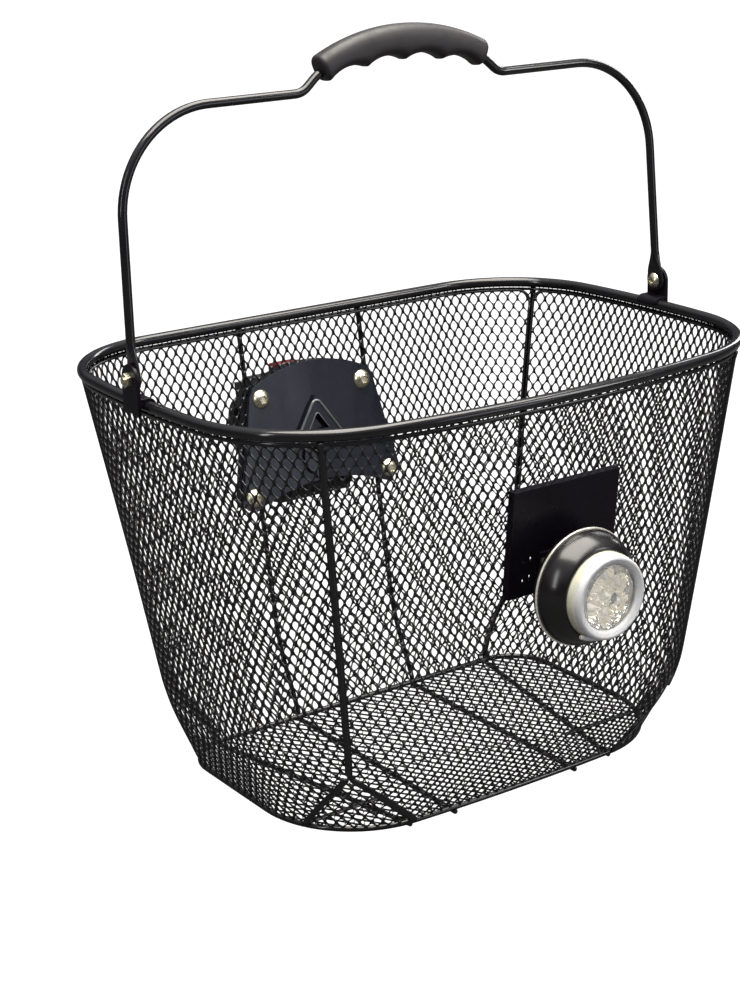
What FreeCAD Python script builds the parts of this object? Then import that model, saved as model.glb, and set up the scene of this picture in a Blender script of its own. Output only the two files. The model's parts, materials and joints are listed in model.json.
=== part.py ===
import FreeCAD, Part
import math
import os
import Sketcher
from FreeCAD import Placement, Rotation, Vector

# Handlebar basket: expanded-metal shell on a wire frame, with a swinging carry
# handle, a quick-release handlebar bracket behind it and a lamp in front.
# Frame: +Z up, -Y is the front (lamp side), +X is the rider's left.
# The basket stands on z = 0.  Millimetres.

SIZES = {
    # Three plan sections of the shell: the rim, the bend low in the wall, the base ring.
    "rim_height": 242.75, "rim_half_width": 167.0, "rim_front": 113.9, "rim_back": 117.2,
    "rim_front_radius": 80.0, "rim_back_radius": 68.3,
    "rim_front_bulge": 20.5, "rim_side_bulge": 10.3,
    "bend_height": 45.75, "bend_half_width": 141.5, "bend_front": 107.7, "bend_back": 85.8,
    "bend_front_radius": 76.8, "bend_back_radius": 48.4,
    "bend_front_bulge": 6.8, "bend_side_bulge": 3.7,
    "ring_height": 4.55, "ring_half_width": 128.0, "ring_front": 86.4, "ring_back": 65.2,
    "ring_front_radius": 61.0, "ring_back_radius": 28.8,
    "ring_front_bulge": 5.8, "ring_side_bulge": 0.3,
    "rim_tube_radius": 3.1, "frame_wire_radius": 1.5, "mesh_thickness": 1.2,
    # Where the wires and seams meet each corner, 0 at the side and 1 at the front or back.
    "front_seam_at_rim": 0.68, "front_seam_at_bend": 0.56, "seam_half_gap": 0.006,
    "gusset_side_at_ring": 0.31, "gusset_front_at_ring": 0.94,
    "back_seam_at_rim": 0.38, "back_seam_at_bend": 0.51, "back_seam_at_ring": 0.95,
    "back_wire_offset": 43.5, "corner_wire_front_offset": 72.0, "corner_wire_set_back": 1.5,
    "wire_top_gap": 0.6, "wire_wall_gap": 0.02, "corner_wire_gap": 0.35, "wire_tip": 0.2,
    "wire_bend_radius": 2.9,
    # Carry handle.
    "pivot_forward": 4.2, "pivot_height": 256.5, "handle_lean": 3.4,
    "eye_inner": 179.3, "eye_thickness": 2.0, "eye_radius": 7.0, "eye_length": 16.0,
    "handle_wire_radius": 2.5, "handle_foot": 181.0, "handle_shoulder": 177.0,
    "handle_bar_height": 134.5, "handle_bend_radius": 55.0,
    "grip_half_length": 57.0, "grip_top": 165.4, "grip_end_top": 151.0,
    "grip_bottom": 147.0, "grip_end_bottom": 138.0, "grip_scallop": 2.2,
    "grip_width": 16.0, "grip_edge": 4.0, "grip_wire_height": 154.0,
    "tab_gap": 0.3, "tab_thickness": 2.0, "tab_half_width": 8.2, "tab_foot": 238.5,
    "tab_saddle_gap": 0.25, "tab_saddle_wall": 1.3,
    "pivot_bolt_radius": 2.0, "pivot_hole_radius": 2.06, "pivot_head_gap": 0.2,
    "dome_radius": 4.7, "dome_height": 2.6, "pivot_nut_radius": 4.0, "pivot_nut_height": 3.0,
    # Quick-release plates on the back wall, in the wall's own frame.
    "wall_origin_height": 166.85, "plate_thickness": 3.0, "hook_plate_thickness": 6.0,
    "plate_top": 47.5, "plate_shoulder": 34.0, "plate_top_half": 45.0,
    "plate_foot": 38.0, "plate_bottom_half": 58.0, "plate_arch": 27.0,
    "bolt_upper_offset": 37.1, "bolt_lower_offset": 50.2, "bolt_rise": 29.5,
    "plate_bolt_radius": 2.5, "plate_dome_radius": 6.0, "plate_dome_height": 3.6,
    "washer_radius": 6.5, "washer_thickness": 1.0, "plate_nut_radius": 4.6, "plate_nut_height": 4.0,
    "wire_groove_width": 3.8, "wire_groove_depth": 3.4,
    "frame_apex": 26.0, "frame_half_base": 20.0, "frame_foot": 4.0, "frame_rise": 2.4,
    "frame_rib": 4.5, "boss_radius": 12.5, "boss_drop": 12.0, "boss_rise": 2.0,
    "neck_half": 15.0, "neck_height": 4.2, "head_half": 20.0, "head_thickness": 3.8,
    "hook_half_height": 30.0, "latch_window_half": 7.0, "latch_window_top": 0.7,
    "latch_window_bottom": 6.3,
    # Handlebar bracket.
    "housing_half": 26.0, "housing_front": 6.4, "housing_back": 34.0,
    "housing_foot": 38.0, "housing_top": 40.0, "slide_gap": 0.3,
    "pocket_half": 9.0, "pocket_front": 18.0, "pocket_back": 31.0, "pocket_head": 30.0,
    "stem_slot_back": 24.2, "latch_room_back": 28.0, "latch_room_half": 8.3,
    "spring_shelf": 12.0, "spring_room_half": 4.0,
    "bar_offset": 46.0, "bar_rise": 8.0, "bar_radius": 12.75, "shim_thickness": 1.6,
    "clamp_wall": 4.0, "clamp_inner": 9.0, "clamp_outer": 23.0, "clamp_half_height": 27.5,
    "clamp_split": 0.4, "clamp_ear": 4.5, "clamp_bolt_spread": 22.6,
    "clamp_bolt_radius": 2.5, "clamp_head_radius": 4.3, "clamp_head_height": 5.0,
    "insert_radius": 3.6, "insert_length": 8.0,
    "button_head_top": 46.0, "button_travel": 3.0,
    "spring_radius": 2.9, "spring_wire": 0.45, "spring_turns": 6.0,
    "latch_front": 11.2, "latch_plate_front": 19.0, "latch_plate_back": 24.0,
    "latch_half_height": 8.0, "ramp_start": 3.0,
    # Light plate, lamp bracket and lamp.
    "light_plate_height": 167.15, "light_plate_half_width": 35.8, "light_plate_half_rise": 30.4,
    "light_plate_thickness": 1.5, "light_plate_stand_off": 3.2, "light_plate_flange": 0.8,
    "lamp_axis_height": 141.45, "lamp_pivot_forward": 137.2,
    "ear_inner": 9.0, "ear_thickness": 1.5, "ear_radius": 5.0,
    "bracket_half": 16.5, "bracket_low": 6.7, "bracket_high": 18.2,
    "bracket_screw_offset": 13.4, "bracket_screw_drop": 12.7, "bracket_screw_radius": 1.5,
    "bracket_screw_head_radius": 2.4, "bracket_screw_head_height": 1.2,
    "lamp_bolt_radius": 2.0, "lamp_bolt_head_radius": 3.6, "lamp_bolt_head_height": 2.2,
    "boss_half": 8.7, "lamp_boss_radius": 4.8,
    "lamp_back": 143.7, "lamp_ring_back": 147.1, "lamp_ring_front": 148.5,
    "lamp_ring_radius": 32.4, "lamp_back_radius": 30.5, "bell_radius": 32.0,
    "bell_front": 162.2, "bell_mouth_radius": 24.8, "shell_wall": 1.8,
    "bezel_radius": 23.0, "bezel_inner_radius": 17.6, "bezel_front": 171.2, "bezel_back": 160.7,
    "lens_radius": 17.4, "lens_back": 167.7, "lens_front": 169.3,
    "reflector_back": 156.7, "led_radius": 2.5, "led_length": 9.0, "led_circle": 10.0,
    "board_radius": 15.5, "board_back": 154.2, "board_thickness": 1.6,
    "cell_radius": 10.0, "cell_thickness": 3.2, "cell_back": 146.7,
    "switch_drop": 20.0, "switch_radius": 5.0, "switch_proud": 1.8, "switch_length": 3.2,
    "switch_gap": 0.3,
}

doc = FreeCAD.newDocument("handlebar_basket")
sheet = doc.addObject("Spreadsheet::Sheet", "sizes")
for row, (alias, value) in enumerate(SIZES.items(), start=1):
    sheet.set("A%d" % row, alias)
    sheet.set("B%d" % row, str(value))
    sheet.setAlias("B%d" % row, alias)
doc.recompute()

NODES = []


def size(alias):
    """Read one driving dimension from the sheet."""
    return float(sheet.get(alias))


def bind(obj, **sizes):
    """Bind an object's properties to expressions over the sheet's cells."""
    for prop, formula in sizes.items():
        obj.setExpression(prop, formula.replace("$", "sizes."))


def node(obj, label):
    """Give a sub-part its name and list it for export."""
    obj.Label = label
    NODES.append(obj)
    return obj


def helper(kind, name):
    return doc.addObject(kind, name)


def place(obj, at, axis=Vector(0, 0, 1), frame=None):
    """Put an object's own Z axis along axis, at a point of the given frame."""
    spot = Placement(Vector(*at), Rotation(Vector(0, 0, 1), axis))
    obj.Placement = frame.multiply(spot) if frame else spot
    return obj


def box(name, low, high, frame=None):
    """A box between two corners, each coordinate an expression over the sheet."""
    made = helper("Part::Box", name)
    for prop, start, end in zip(("Length", "Width", "Height"), low, high):
        bind(made, **{prop: "(%s) - (%s)" % (end, start)})
    corner = [made.evalExpression(text.replace("$", "sizes.")) for text in low]
    corner = [float(getattr(number, "Value", number)) for number in corner]
    return place(made, corner, frame=frame)


def cylinder(name, radius, height, at, axis, frame=None):
    made = helper("Part::Cylinder", name)
    bind(made, Radius=radius, Height=height)
    return place(made, at, axis, frame)


def cone(name, radius1, radius2, height, at, axis):
    made = helper("Part::Cone", name)
    bind(made, Radius1=radius1, Radius2=radius2, Height=height)
    return place(made, at, axis)


def prism(name, circumradius, height, at, axis, frame=None):
    made = helper("Part::Prism", name)
    made.Polygon = 6
    bind(made, Circumradius=circumradius, Height=height)
    return place(made, at, axis, frame)


def cut(name, base, *tools):
    """Cut one or more tools out of a base."""
    made = helper("Part::Cut", name)
    made.Base = base
    made.Tool = tools[0] if len(tools) == 1 else fuse(name + "_tools", *tools)
    return made


def fuse(name, *shapes):
    made = helper("Part::MultiFuse", name)
    made.Shapes = list(shapes)
    return made


def group(label, members):
    """Identical pieces that share one node, as separate solids."""
    made = helper("Part::Compound", label)
    made.Links = members
    return node(made, label)


def solid_feature(label, shape):
    """A sub-part whose shape the Part functions make."""
    made = helper("Part::Feature", label)
    made.Shape = shape
    return node(made, label)


# ---------------------------------------------------------------- plan sections

def plan_section(prefix, inset=0.0):
    """Tangent arcs of one plan outline: bulged front, bulged sides, straight back.

    Returns the key points of the left (-X) half; the right half mirrors it.
    """
    half, front, back = (size(prefix + tail) for tail in ("_half_width", "_front", "_back"))
    front_bulge, side_bulge = size(prefix + "_front_bulge"), size(prefix + "_side_bulge")
    half_depth = (front + back) / 2
    centre_y = (back - front) / 2
    front_radius = (half ** 2 + front_bulge ** 2) / (2 * front_bulge)
    side_radius = (half_depth ** 2 + side_bulge ** 2) / (2 * side_bulge)
    front_centre = Vector(0, front_radius - front - front_bulge)
    side_centre = Vector(side_radius - half - side_bulge, centre_y)
    corner_front, corner_back = size(prefix + "_front_radius"), size(prefix + "_back_radius")
    # The front corner's centre is where two circles about the big centres cross.
    reach_front, reach_side = front_radius - corner_front, side_radius - corner_front
    gap = side_centre - front_centre
    along = (reach_front ** 2 - reach_side ** 2 + gap.Length ** 2) / (2 * gap.Length)
    across = math.sqrt(reach_front ** 2 - along ** 2)
    unit = Vector(gap).normalize()
    normal = Vector(-unit.y, unit.x)
    crossings = [front_centre + unit * along + normal * across * sign for sign in (1, -1)]
    front_corner = min(crossings, key=lambda point: point.y)
    back_y = back - corner_back
    back_x = side_centre.x - math.sqrt((side_radius - corner_back) ** 2 - (back_y - centre_y) ** 2)
    back_corner = Vector(back_x, back_y)
    return {
        "z": size(prefix + "_height"),
        "front_mid": Vector(0, inset - front - front_bulge),
        "side_mid": Vector(inset - half - side_bulge, centre_y),
        "front": (front_corner, corner_front - inset,
                  math.atan2(*reversed((front_corner - side_centre)[:2])),
                  math.atan2(*reversed((front_corner - front_centre)[:2]))),
        "back": (back_corner, corner_back - inset,
                 math.atan2(*reversed((back_corner - side_centre)[:2])), math.pi / 2),
    }


def corner_point(section, side, row, fraction, z=None):
    """A point on a corner arc: side is -1 or 1, row is front or back, 0 at the side."""
    centre, radius, at_side, at_end = section[row]
    turn = (at_end - at_side + math.pi) % (2 * math.pi) - math.pi
    angle = at_side + turn * fraction
    x = centre.x + radius * math.cos(angle)
    y = centre.y + radius * math.sin(angle)
    return Vector(-side * x, y, section["z"] if z is None else z)


def mirrored(point, side):
    return Vector(-side * point.x, point.y, point.z)


def corner_stretch(section, side, row, first, last):
    steps = (first, (first + last) / 2, last)
    return [corner_point(section, side, row, fraction) for fraction in steps]


def front_stretch(section, side=-1):
    middle = Vector(section["front_mid"].x, section["front_mid"].y, section["z"])
    return [corner_point(section, side, "front", 1), middle,
            corner_point(section, -side, "front", 1)]


def side_stretch(section, side):
    middle = mirrored(section["side_mid"], side)
    middle.z = section["z"]
    return [corner_point(section, side, "front", 0), middle,
            corner_point(section, side, "back", 0)]


def back_stretch(section):
    return [corner_point(section, -1, "back", 1), corner_point(section, 1, "back", 1)]


def stretch_edge(points):
    if len(points) == 2:
        return Part.LineSegment(*points).toShape()
    return Part.Arc(*points).toShape()


def closed_outline(section, lift=0.0):
    """The whole plan outline as one wire of tangent arcs."""
    stretches = [
        front_stretch(section),
        corner_stretch(section, 1, "front", 1, 0),
        side_stretch(section, 1),
        corner_stretch(section, 1, "back", 0, 1),
        list(reversed(back_stretch(section))),
        corner_stretch(section, -1, "back", 1, 0),
        list(reversed(side_stretch(section, -1))),
        corner_stretch(section, -1, "front", 0, 1),
    ]
    wire = Part.Wire([stretch_edge(points) for points in stretches])
    wire.translate(Vector(0, 0, lift))
    return wire


def swept(path, radius):
    """A round wire along a path."""
    start = path.Edges[0]
    tangent = start.tangentAt(start.FirstParameter)
    centre = start.valueAt(start.FirstParameter)
    profile = Part.Wire([Part.makeCircle(radius, centre, tangent)])
    return path.makePipeShell([profile], True, True)


def bent_path(points, radii):
    """Straight runs joined by tangent arcs, one radius for each inner corner."""
    edges = []
    here = points[0]
    for before, corner, after, radius in zip(points, points[1:], points[2:], radii):
        arrive, leave = (corner - before).normalize(), (after - corner).normalize()
        turn = arrive.getAngle(leave)
        setback = radius * math.tan(turn / 2)
        start, end = corner - arrive * setback, corner + leave * setback
        toward = (leave - arrive).normalize()
        middle = corner + toward * (radius / math.cos(turn / 2) - radius)
        edges.append(Part.LineSegment(here, start).toShape())
        edges.append(Part.Arc(start, middle, end).toShape())
        here = end
    edges.append(Part.LineSegment(here, points[-1]).toShape())
    return Part.Wire(edges)


# ---------------------------------------------------------------- basket shell

HALF_MESH = size("mesh_thickness") / 2
WIRE = size("frame_wire_radius")
TUBE = size("rim_tube_radius")
LEVELS = ("rim", "bend", "ring")


def ribbon(prefix, stretches, z):
    """A closed strip of the mesh's thickness that follows some plan stretches."""
    outer, inner = plan_section(prefix, -HALF_MESH), plan_section(prefix, HALF_MESH)
    outside = [stretch_points(outer, stretch) for stretch in stretches]
    inside = [list(reversed(stretch_points(inner, stretch))) for stretch in reversed(stretches)]
    edges = [stretch_edge(points) for points in outside]
    edges.append(Part.LineSegment(outside[-1][-1], inside[0][0]).toShape())
    edges += [stretch_edge(points) for points in inside]
    edges.append(Part.LineSegment(inside[-1][-1], outside[0][0]).toShape())
    wire = Part.Wire(edges)
    wire.translate(Vector(0, 0, z - outer["z"]))
    return wire


def stretch_points(section, stretch):
    kind, rest = stretch[0], stretch[1:]
    if kind == "corner":
        return corner_stretch(section, *rest)
    if kind == "side":
        return side_stretch(section, *rest)
    if kind == "front":
        return front_stretch(section)
    return back_stretch(section)


def level_height(prefix):
    """Height of a panel's edge or bend: it stops at the rim's underside and on the ring."""
    if prefix == "rim":
        return size("rim_height") - TUBE
    if prefix == "ring":
        return size("ring_height") + WIRE
    return size("bend_height")


def seam(prefix, row, panel):
    """Where a panel ends on a corner arc at one level."""
    if row == "back":
        return size("back_seam_at_" + prefix)
    if prefix == "rim":
        return size("front_seam_at_rim")
    if prefix == "bend":
        shift = size("seam_half_gap") * (1 if panel == "front" else -1)
        return size("front_seam_at_bend") + shift
    return size("gusset_front_at_ring" if panel == "front" else "gusset_side_at_ring")


def panel_stretches(prefix, panel):
    if panel == "front":
        end = seam(prefix, "front", panel)
        return [("corner", -1, "front", end, 1), ("front",), ("corner", 1, "front", 1, end)]
    if panel == "back":
        end = seam(prefix, "back", panel)
        return [("corner", -1, "back", end, 1), ("back",), ("corner", 1, "back", 1, end)]
    side = -1 if panel == "left" else 1
    return [("corner", side, "front", seam(prefix, "front", panel), 0), ("side", side),
            ("corner", side, "back", 0, seam(prefix, "back", panel))]


def make_panels():
    for panel in ("front", "back", "left", "right"):
        rings = [ribbon(level, panel_stretches(level, panel), level_height(level))
                 for level in LEVELS]
        solid_feature(panel + "_mesh", Part.makeLoft(rings, True, True))


def make_gussets():
    """Triangles of mesh that close the lower front corners."""
    gap = size("seam_half_gap")
    apex = size("front_seam_at_bend")
    ends = (size("gusset_side_at_ring"), size("gusset_front_at_ring"))
    for name, side in (("left", -1), ("right", 1)):
        foot = ribbon("ring", [("corner", side, "front") + ends], level_height("ring"))
        top = ribbon("bend", [("corner", side, "front", apex - gap, apex + gap)],
                     level_height("bend"))
        solid_feature("front_gusset_" + name, Part.makeLoft([foot, top], True, True))


def make_floor():
    outline = closed_outline(plan_section("ring", WIRE))
    outline.translate(Vector(0, 0, 2 * WIRE - size("ring_height")))
    face = Part.Face(outline)
    solid_feature("floor_mesh", face.extrude(Vector(0, 0, size("mesh_thickness"))))


def make_rings():
    solid_feature("rim_tube", swept(closed_outline(plan_section("rim")), TUBE))
    solid_feature("base_ring", swept(closed_outline(plan_section("ring")), WIRE))


# ---------------------------------------------------------------- frame wires

PANEL_TOP = level_height("rim")
PANEL_RISE = PANEL_TOP - size("bend_height")
LEAN = math.atan((size("rim_back") - size("bend_back")) / PANEL_RISE)


def back_face(prefix):
    """Distance of the back wall's outer face behind the origin at one level."""
    return size(prefix + "_back") + HALF_MESH


WIRE_TOP = size("rim_height") - TUBE - size("wire_top_gap")


def under_floor_wire(wall_points, ring_point, front_point):
    """A wire down the outside of the wall, round the base ring and forward under the floor."""
    outward = Vector(ring_point.x, ring_point.y, 0) - Vector(front_point.x, front_point.y, 0)
    outward.normalize()
    clear = 2 * WIRE + size("wire_top_gap")
    outside = Vector(ring_point.x, ring_point.y, 0) + outward * clear
    low = Vector(outside.x, outside.y, WIRE)
    high = Vector(outside.x, outside.y, size("ring_height") + WIRE)
    path = wall_points + [high, low, Vector(front_point.x, front_point.y, WIRE)]
    bends = [size("wire_bend_radius")] * (len(path) - 2)
    return swept(bent_path(path, bends), WIRE)


def make_back_wires():
    """Two wires down the back wall; each stays clear of the wall's two slopes."""
    top_clear = WIRE / math.cos(LEAN) + size("wire_wall_gap")
    foot_run = back_face("bend") - back_face("ring")
    foot_lean = math.atan(foot_run / (size("bend_height") - level_height("ring")))
    bend_clear = WIRE / math.cos(foot_lean) + size("wire_wall_gap")
    front = plan_section("ring")["front_mid"].y - size("wire_tip")
    for name, side in (("left", -1), ("right", 1)):
        x = side * size("back_wire_offset")
        wall_y = back_face("rim") - math.tan(LEAN) * (PANEL_TOP - WIRE_TOP)
        top = Vector(x, wall_y + top_clear, WIRE_TOP)
        bend = Vector(x, back_face("bend") + bend_clear, size("bend_height"))
        ring = Vector(x, size("ring_back"))
        wire = under_floor_wire([top, bend], ring, Vector(x, front))
        solid_feature("back_wire_" + name, wire)


def corner_wire_point(prefix, side, row, fraction, z):
    """A point outside a corner arc, where a wire clears the mesh."""
    clear = HALF_MESH + WIRE + size("corner_wire_gap")
    return corner_point(plan_section(prefix, -clear), side, row, fraction, z)


def make_corner_wires():
    for name, side in (("left", -1), ("right", 1)):
        top = corner_wire_point("rim", side, "back", size("back_seam_at_rim"), WIRE_TOP)
        bend = corner_wire_point("bend", side, "back", size("back_seam_at_bend"),
                                 size("bend_height"))
        ring = corner_point(plan_section("ring"), side, "back", size("back_seam_at_ring"))
        x = side * size("corner_wire_front_offset")
        front = Vector(x, plan_section("ring")["front_mid"].y + size("corner_wire_set_back"))
        wire = under_floor_wire([top, bend], ring, front)
        solid_feature("rear_corner_wire_" + name, wire)
        start = corner_wire_point("rim", side, "front", size("front_seam_at_rim"), WIRE_TOP)
        end = corner_wire_point("bend", side, "front", size("front_seam_at_bend"),
                                size("bend_height"))
        path = Part.Wire([Part.LineSegment(start, end).toShape()])
        solid_feature("front_corner_wire_" + name, swept(path, WIRE))


# ---------------------------------------------------------------- carry handle

PIVOT = Vector(0, -size("pivot_forward"), size("pivot_height"))
OUTWARD = {"left": Vector(-1, 0, 0), "right": Vector(1, 0, 0)}


def handle_point(x, rise):
    return PIVOT + Vector(x, 0, rise)


def leaned(shape):
    """The handle is built upright and rests leaning back by a few degrees."""
    shape.rotate(PIVOT, Vector(1, 0, 0), -size("handle_lean"))
    return shape


def make_handle_wire():
    """One bent wire from eye to eye, flattened at both ends."""
    foot, shoulder, bar = size("handle_foot"), size("handle_shoulder"), size("handle_bar_height")
    end = size("grip_half_length")
    # The wire turns up before the grip's end, and is just inside it and above its underside.
    before, inside, above = 9, 1, 6
    turn_bend, entry_bend, arch_bend = 12, 14, 40
    # Corners of the left half, from the eye to the middle of the grip, and their bend radii.
    corners = [(-foot, size("eye_length")), (-shoulder, bar), (-end - before, bar),
               (-end + inside, size("grip_end_bottom") + above),
               (-end / 2, size("grip_wire_height"))]
    radii = [size("handle_bend_radius"), turn_bend, entry_bend, arch_bend]
    corners += [(-x, rise) for x, rise in reversed(corners)]
    path = bent_path([handle_point(*corner) for corner in corners], radii + radii[::-1])
    wire = swept(path, size("handle_wire_radius"))
    for name in OUTWARD:
        wire = wire.fuse(eye_shape(name))
    return leaned(wire.removeSplitter())


def eye_shape(name):
    """Flattened end of the handle wire with its pivot hole."""
    side = OUTWARD[name]
    inner, thick, radius = size("eye_inner"), size("eye_thickness"), size("eye_radius")
    length, wire = size("eye_length"), size("handle_wire_radius")
    centre = PIVOT + side * inner
    disc = Part.makeCylinder(radius, thick, centre, side)
    low_x = min(side.x * inner, side.x * (inner + thick))
    strip = Part.makeBox(thick, 2 * wire + 1, length + 2,
                         Vector(low_x, PIVOT.y - wire - 0.5, PIVOT.z))
    hole = Part.makeCylinder(size("pivot_hole_radius"), 4 * thick, centre - side * thick, side)
    return disc.fuse(strip).cut(hole)


def make_grip(wire_shape):
    """Arched grip with finger scallops underneath, moulded round the wire."""
    half, bottom, end_bottom = (size("grip_half_length"), size("grip_bottom"),
                                size("grip_end_bottom"))
    top_arc = Part.Arc(handle_point(-half, size("grip_end_top")),
                       handle_point(0, size("grip_top")),
                       handle_point(half, size("grip_end_top")))
    sag = bottom - end_bottom
    fingers = 4
    knots = [-half + 2 * half * index / fingers for index in range(fingers + 1)]

    def under(x):
        return bottom - sag * (x / half) ** 2

    edges = [top_arc.toShape(),
             Part.LineSegment(handle_point(half, size("grip_end_top")),
                              handle_point(half, end_bottom)).toShape()]
    for start, stop in zip(reversed(knots), list(reversed(knots))[1:]):
        middle = (start + stop) / 2
        edges.append(Part.Arc(handle_point(start, under(start)),
                              handle_point(middle, under(middle) + size("grip_scallop")),
                              handle_point(stop, under(stop))).toShape())
    edges.append(Part.LineSegment(handle_point(-half, end_bottom),
                                  handle_point(-half, size("grip_end_top"))).toShape())
    width = size("grip_width")
    face = Part.Face(Part.Wire(edges))
    face.translate(Vector(0, -width / 2, 0))
    body = face.extrude(Vector(0, width, 0))
    long_edges = [edge for edge in body.Edges
                  if edge.BoundBox.YLength < 0.01 and edge.BoundBox.XLength > half]
    body = body.makeFillet(size("grip_edge"), long_edges)
    solid_feature("handle_grip", leaned(body).cut(wire_shape))


def make_tabs():
    """Steel tabs outside the handle's eyes, wrapped over the rim."""
    inner = size("eye_inner") + size("eye_thickness") + size("tab_gap")
    thick, half = size("tab_thickness"), size("tab_half_width")
    rim_x = size("rim_half_width") + size("rim_side_bulge")
    gap, wall = size("tab_saddle_gap"), size("tab_saddle_wall")
    for name, side in OUTWARD.items():
        low_x = min(side.x * inner, side.x * (inner + thick))
        plate = Part.makeBox(thick, 2 * half, PIVOT.z - size("tab_foot"),
                             Vector(low_x, PIVOT.y - half, size("tab_foot")))
        crown = Part.makeCylinder(half, thick, PIVOT + side * inner, side)
        start = Vector(side.x * rim_x, PIVOT.y - half, size("rim_height"))
        along = Vector(0, 1, 0)
        sleeve = Part.makeCylinder(TUBE + gap + wall, 2 * half, start, along)
        bridge = Part.makeBox(inner - rim_x + 0.5, 2 * half, wall,
                              Vector(min(side.x * rim_x, side.x * (inner + 0.5)), PIVOT.y - half,
                                     size("rim_height") + TUBE + gap))
        upper = Part.makeBox(6 * TUBE, 2 * half, 3 * TUBE,
                             start + Vector(-3 * TUBE, 0, 0))
        saddle = sleeve.common(upper).fuse(bridge)
        bore = Part.makeCylinder(TUBE + gap, 2 * half, start, along)
        hole = Part.makeCylinder(size("pivot_bolt_radius"), 3 * thick,
                                 PIVOT + side * (inner - thick), side)
        tab = plate.fuse(crown).fuse(saddle).cut(bore).cut(hole)
        solid_feature("handle_tab_" + name, tab.removeSplitter())


def dome_head(name, radius, height, at, axis, frame=None):
    """A domed bolt head with a hexagon socket."""
    ball = helper("Part::Sphere", name + "_ball")
    bind(ball, Radius="(%s ^ 2 + %s ^ 2) / (2 * %s)" % (radius, height, height))
    rise, reach = size(height.strip("$")), size(radius.strip("$"))
    depth = (reach ** 2 + rise ** 2) / (2 * rise) - rise
    place(ball, Vector(*at) - axis * depth, axis, frame)
    slab = cylinder(name + "_slab", radius, height, at, axis, frame)
    head = helper("Part::Common", name + "_dome")
    head.Base = ball
    head.Tool = slab
    socket = prism(name + "_socket", radius + " * 0.42", height,
                   Vector(*at) + axis * (rise * 0.45), axis, frame)
    return cut(name + "_head", head, socket)


def make_pivot_bolts():
    bolts, nuts = [], []
    grip_length = (size("pivot_head_gap") + size("eye_thickness") + size("tab_gap")
                   + size("tab_thickness"))
    for name, side in OUTWARD.items():
        seat = PIVOT + side * (size("eye_inner") - size("pivot_head_gap"))
        head = dome_head("pivot_%s" % name, "$dome_radius", "$dome_height", seat, side * -1)
        shank = cylinder("pivot_shank_" + name, "$pivot_bolt_radius",
                         "$pivot_head_gap + $eye_thickness + $tab_gap + $tab_thickness"
                         " + $pivot_nut_height + 1",
                         seat, side)
        bolts.append(fuse("pivot_bolt_" + name, head, shank))
        nut_seat = seat + side * grip_length
        blank = prism("pivot_nut_blank_" + name, "$pivot_nut_radius", "$pivot_nut_height",
                      nut_seat, side)
        thread = cylinder("pivot_nut_bore_" + name, "$pivot_bolt_radius",
                          "$pivot_nut_height", nut_seat, side)
        nuts.append(cut("pivot_nut_" + name, blank, thread))
    group("handle_pivot_bolts", bolts)
    group("handle_pivot_nuts", nuts)


# ---------------------------------------------------------------- quick-release plates

WALL_Y = back_face("rim") - math.tan(LEAN) * (PANEL_TOP - size("wall_origin_height"))
# In this frame X is across, Y points out of the back wall and Z runs up the wall.
WALL = Placement(Vector(0, WALL_Y, size("wall_origin_height")),
                 Rotation(Vector(1, 0, 0), -math.degrees(LEAN)))
OUT = Vector(0, 1, 0)
BOLT_SPOTS = [(sx * size("bolt_%s_offset" % row), sz * size("bolt_rise"))
              for row, sz in (("upper", 1), ("lower", -1)) for sx in (-1, 1)]


def origin_plane(body, role):
    return next(item for item in body.Origin.OriginFeatures if item.Role == role)


def sketch_on(body, name, role):
    sketch = body.newObject("Sketcher::SketchObject", name)
    sketch.AttachmentSupport = [(origin_plane(body, role), "")]
    sketch.MapMode = "FlatFace"
    return sketch


def plate_outline(sketch):
    """Arched top, flared sides and a hollowed bottom edge."""
    top, shoulder, top_half = size("plate_top"), size("plate_shoulder"), size("plate_top_half")
    foot, bottom_half, arch = size("plate_foot"), size("plate_bottom_half"), size("plate_arch")
    ease = 8.0
    flat = Vector
    sketch.addGeometry(Part.Arc(flat(-top_half + 3, shoulder + 3, 0), flat(0, top, 0),
                                flat(top_half - 3, shoulder + 3, 0)), False)
    corners = [
        flat(top_half - 3, shoulder + 3, 0), flat(top_half, shoulder - 2, 0),
        flat(bottom_half, -foot + ease, 0), flat(bottom_half - ease, -foot, 0),
    ]
    for start, end in zip(corners, corners[1:]):
        sketch.addGeometry(Part.LineSegment(start, end), False)
    left = [flat(-point.x, point.y, 0) for point in reversed(corners)]
    sketch.addGeometry(Part.Arc(corners[-1], flat(0, -arch, 0), left[0]), False)
    for start, end in zip(left, left[1:]):
        sketch.addGeometry(Part.LineSegment(start, end), False)
    # The top arc runs counter-clockwise, so its start is its right end.
    sketch.addConstraint(Sketcher.Constraint("Coincident", 0, 1, 1, 1))


def plate_body(label, depth, reverse):
    """One of the two plates that clamp the mesh: a pad of the shared outline."""
    body = doc.addObject("PartDesign::Body", label + "_body")
    sketch = sketch_on(body, label + "_outline", "XZ_Plane")
    plate_outline(sketch)
    pad = body.newObject("PartDesign::Pad", label + "_pad")
    pad.Profile = sketch
    bind(pad, Length=depth)
    pad.Reversed = reverse
    body.Tip = pad
    return body


def bolt_holes(name, start, depth):
    return [cylinder("%s_hole_%d" % (name, index), "$plate_bolt_radius", depth,
                     (x, start, z), OUT, WALL) for index, (x, z) in enumerate(BOLT_SPOTS)]


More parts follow.
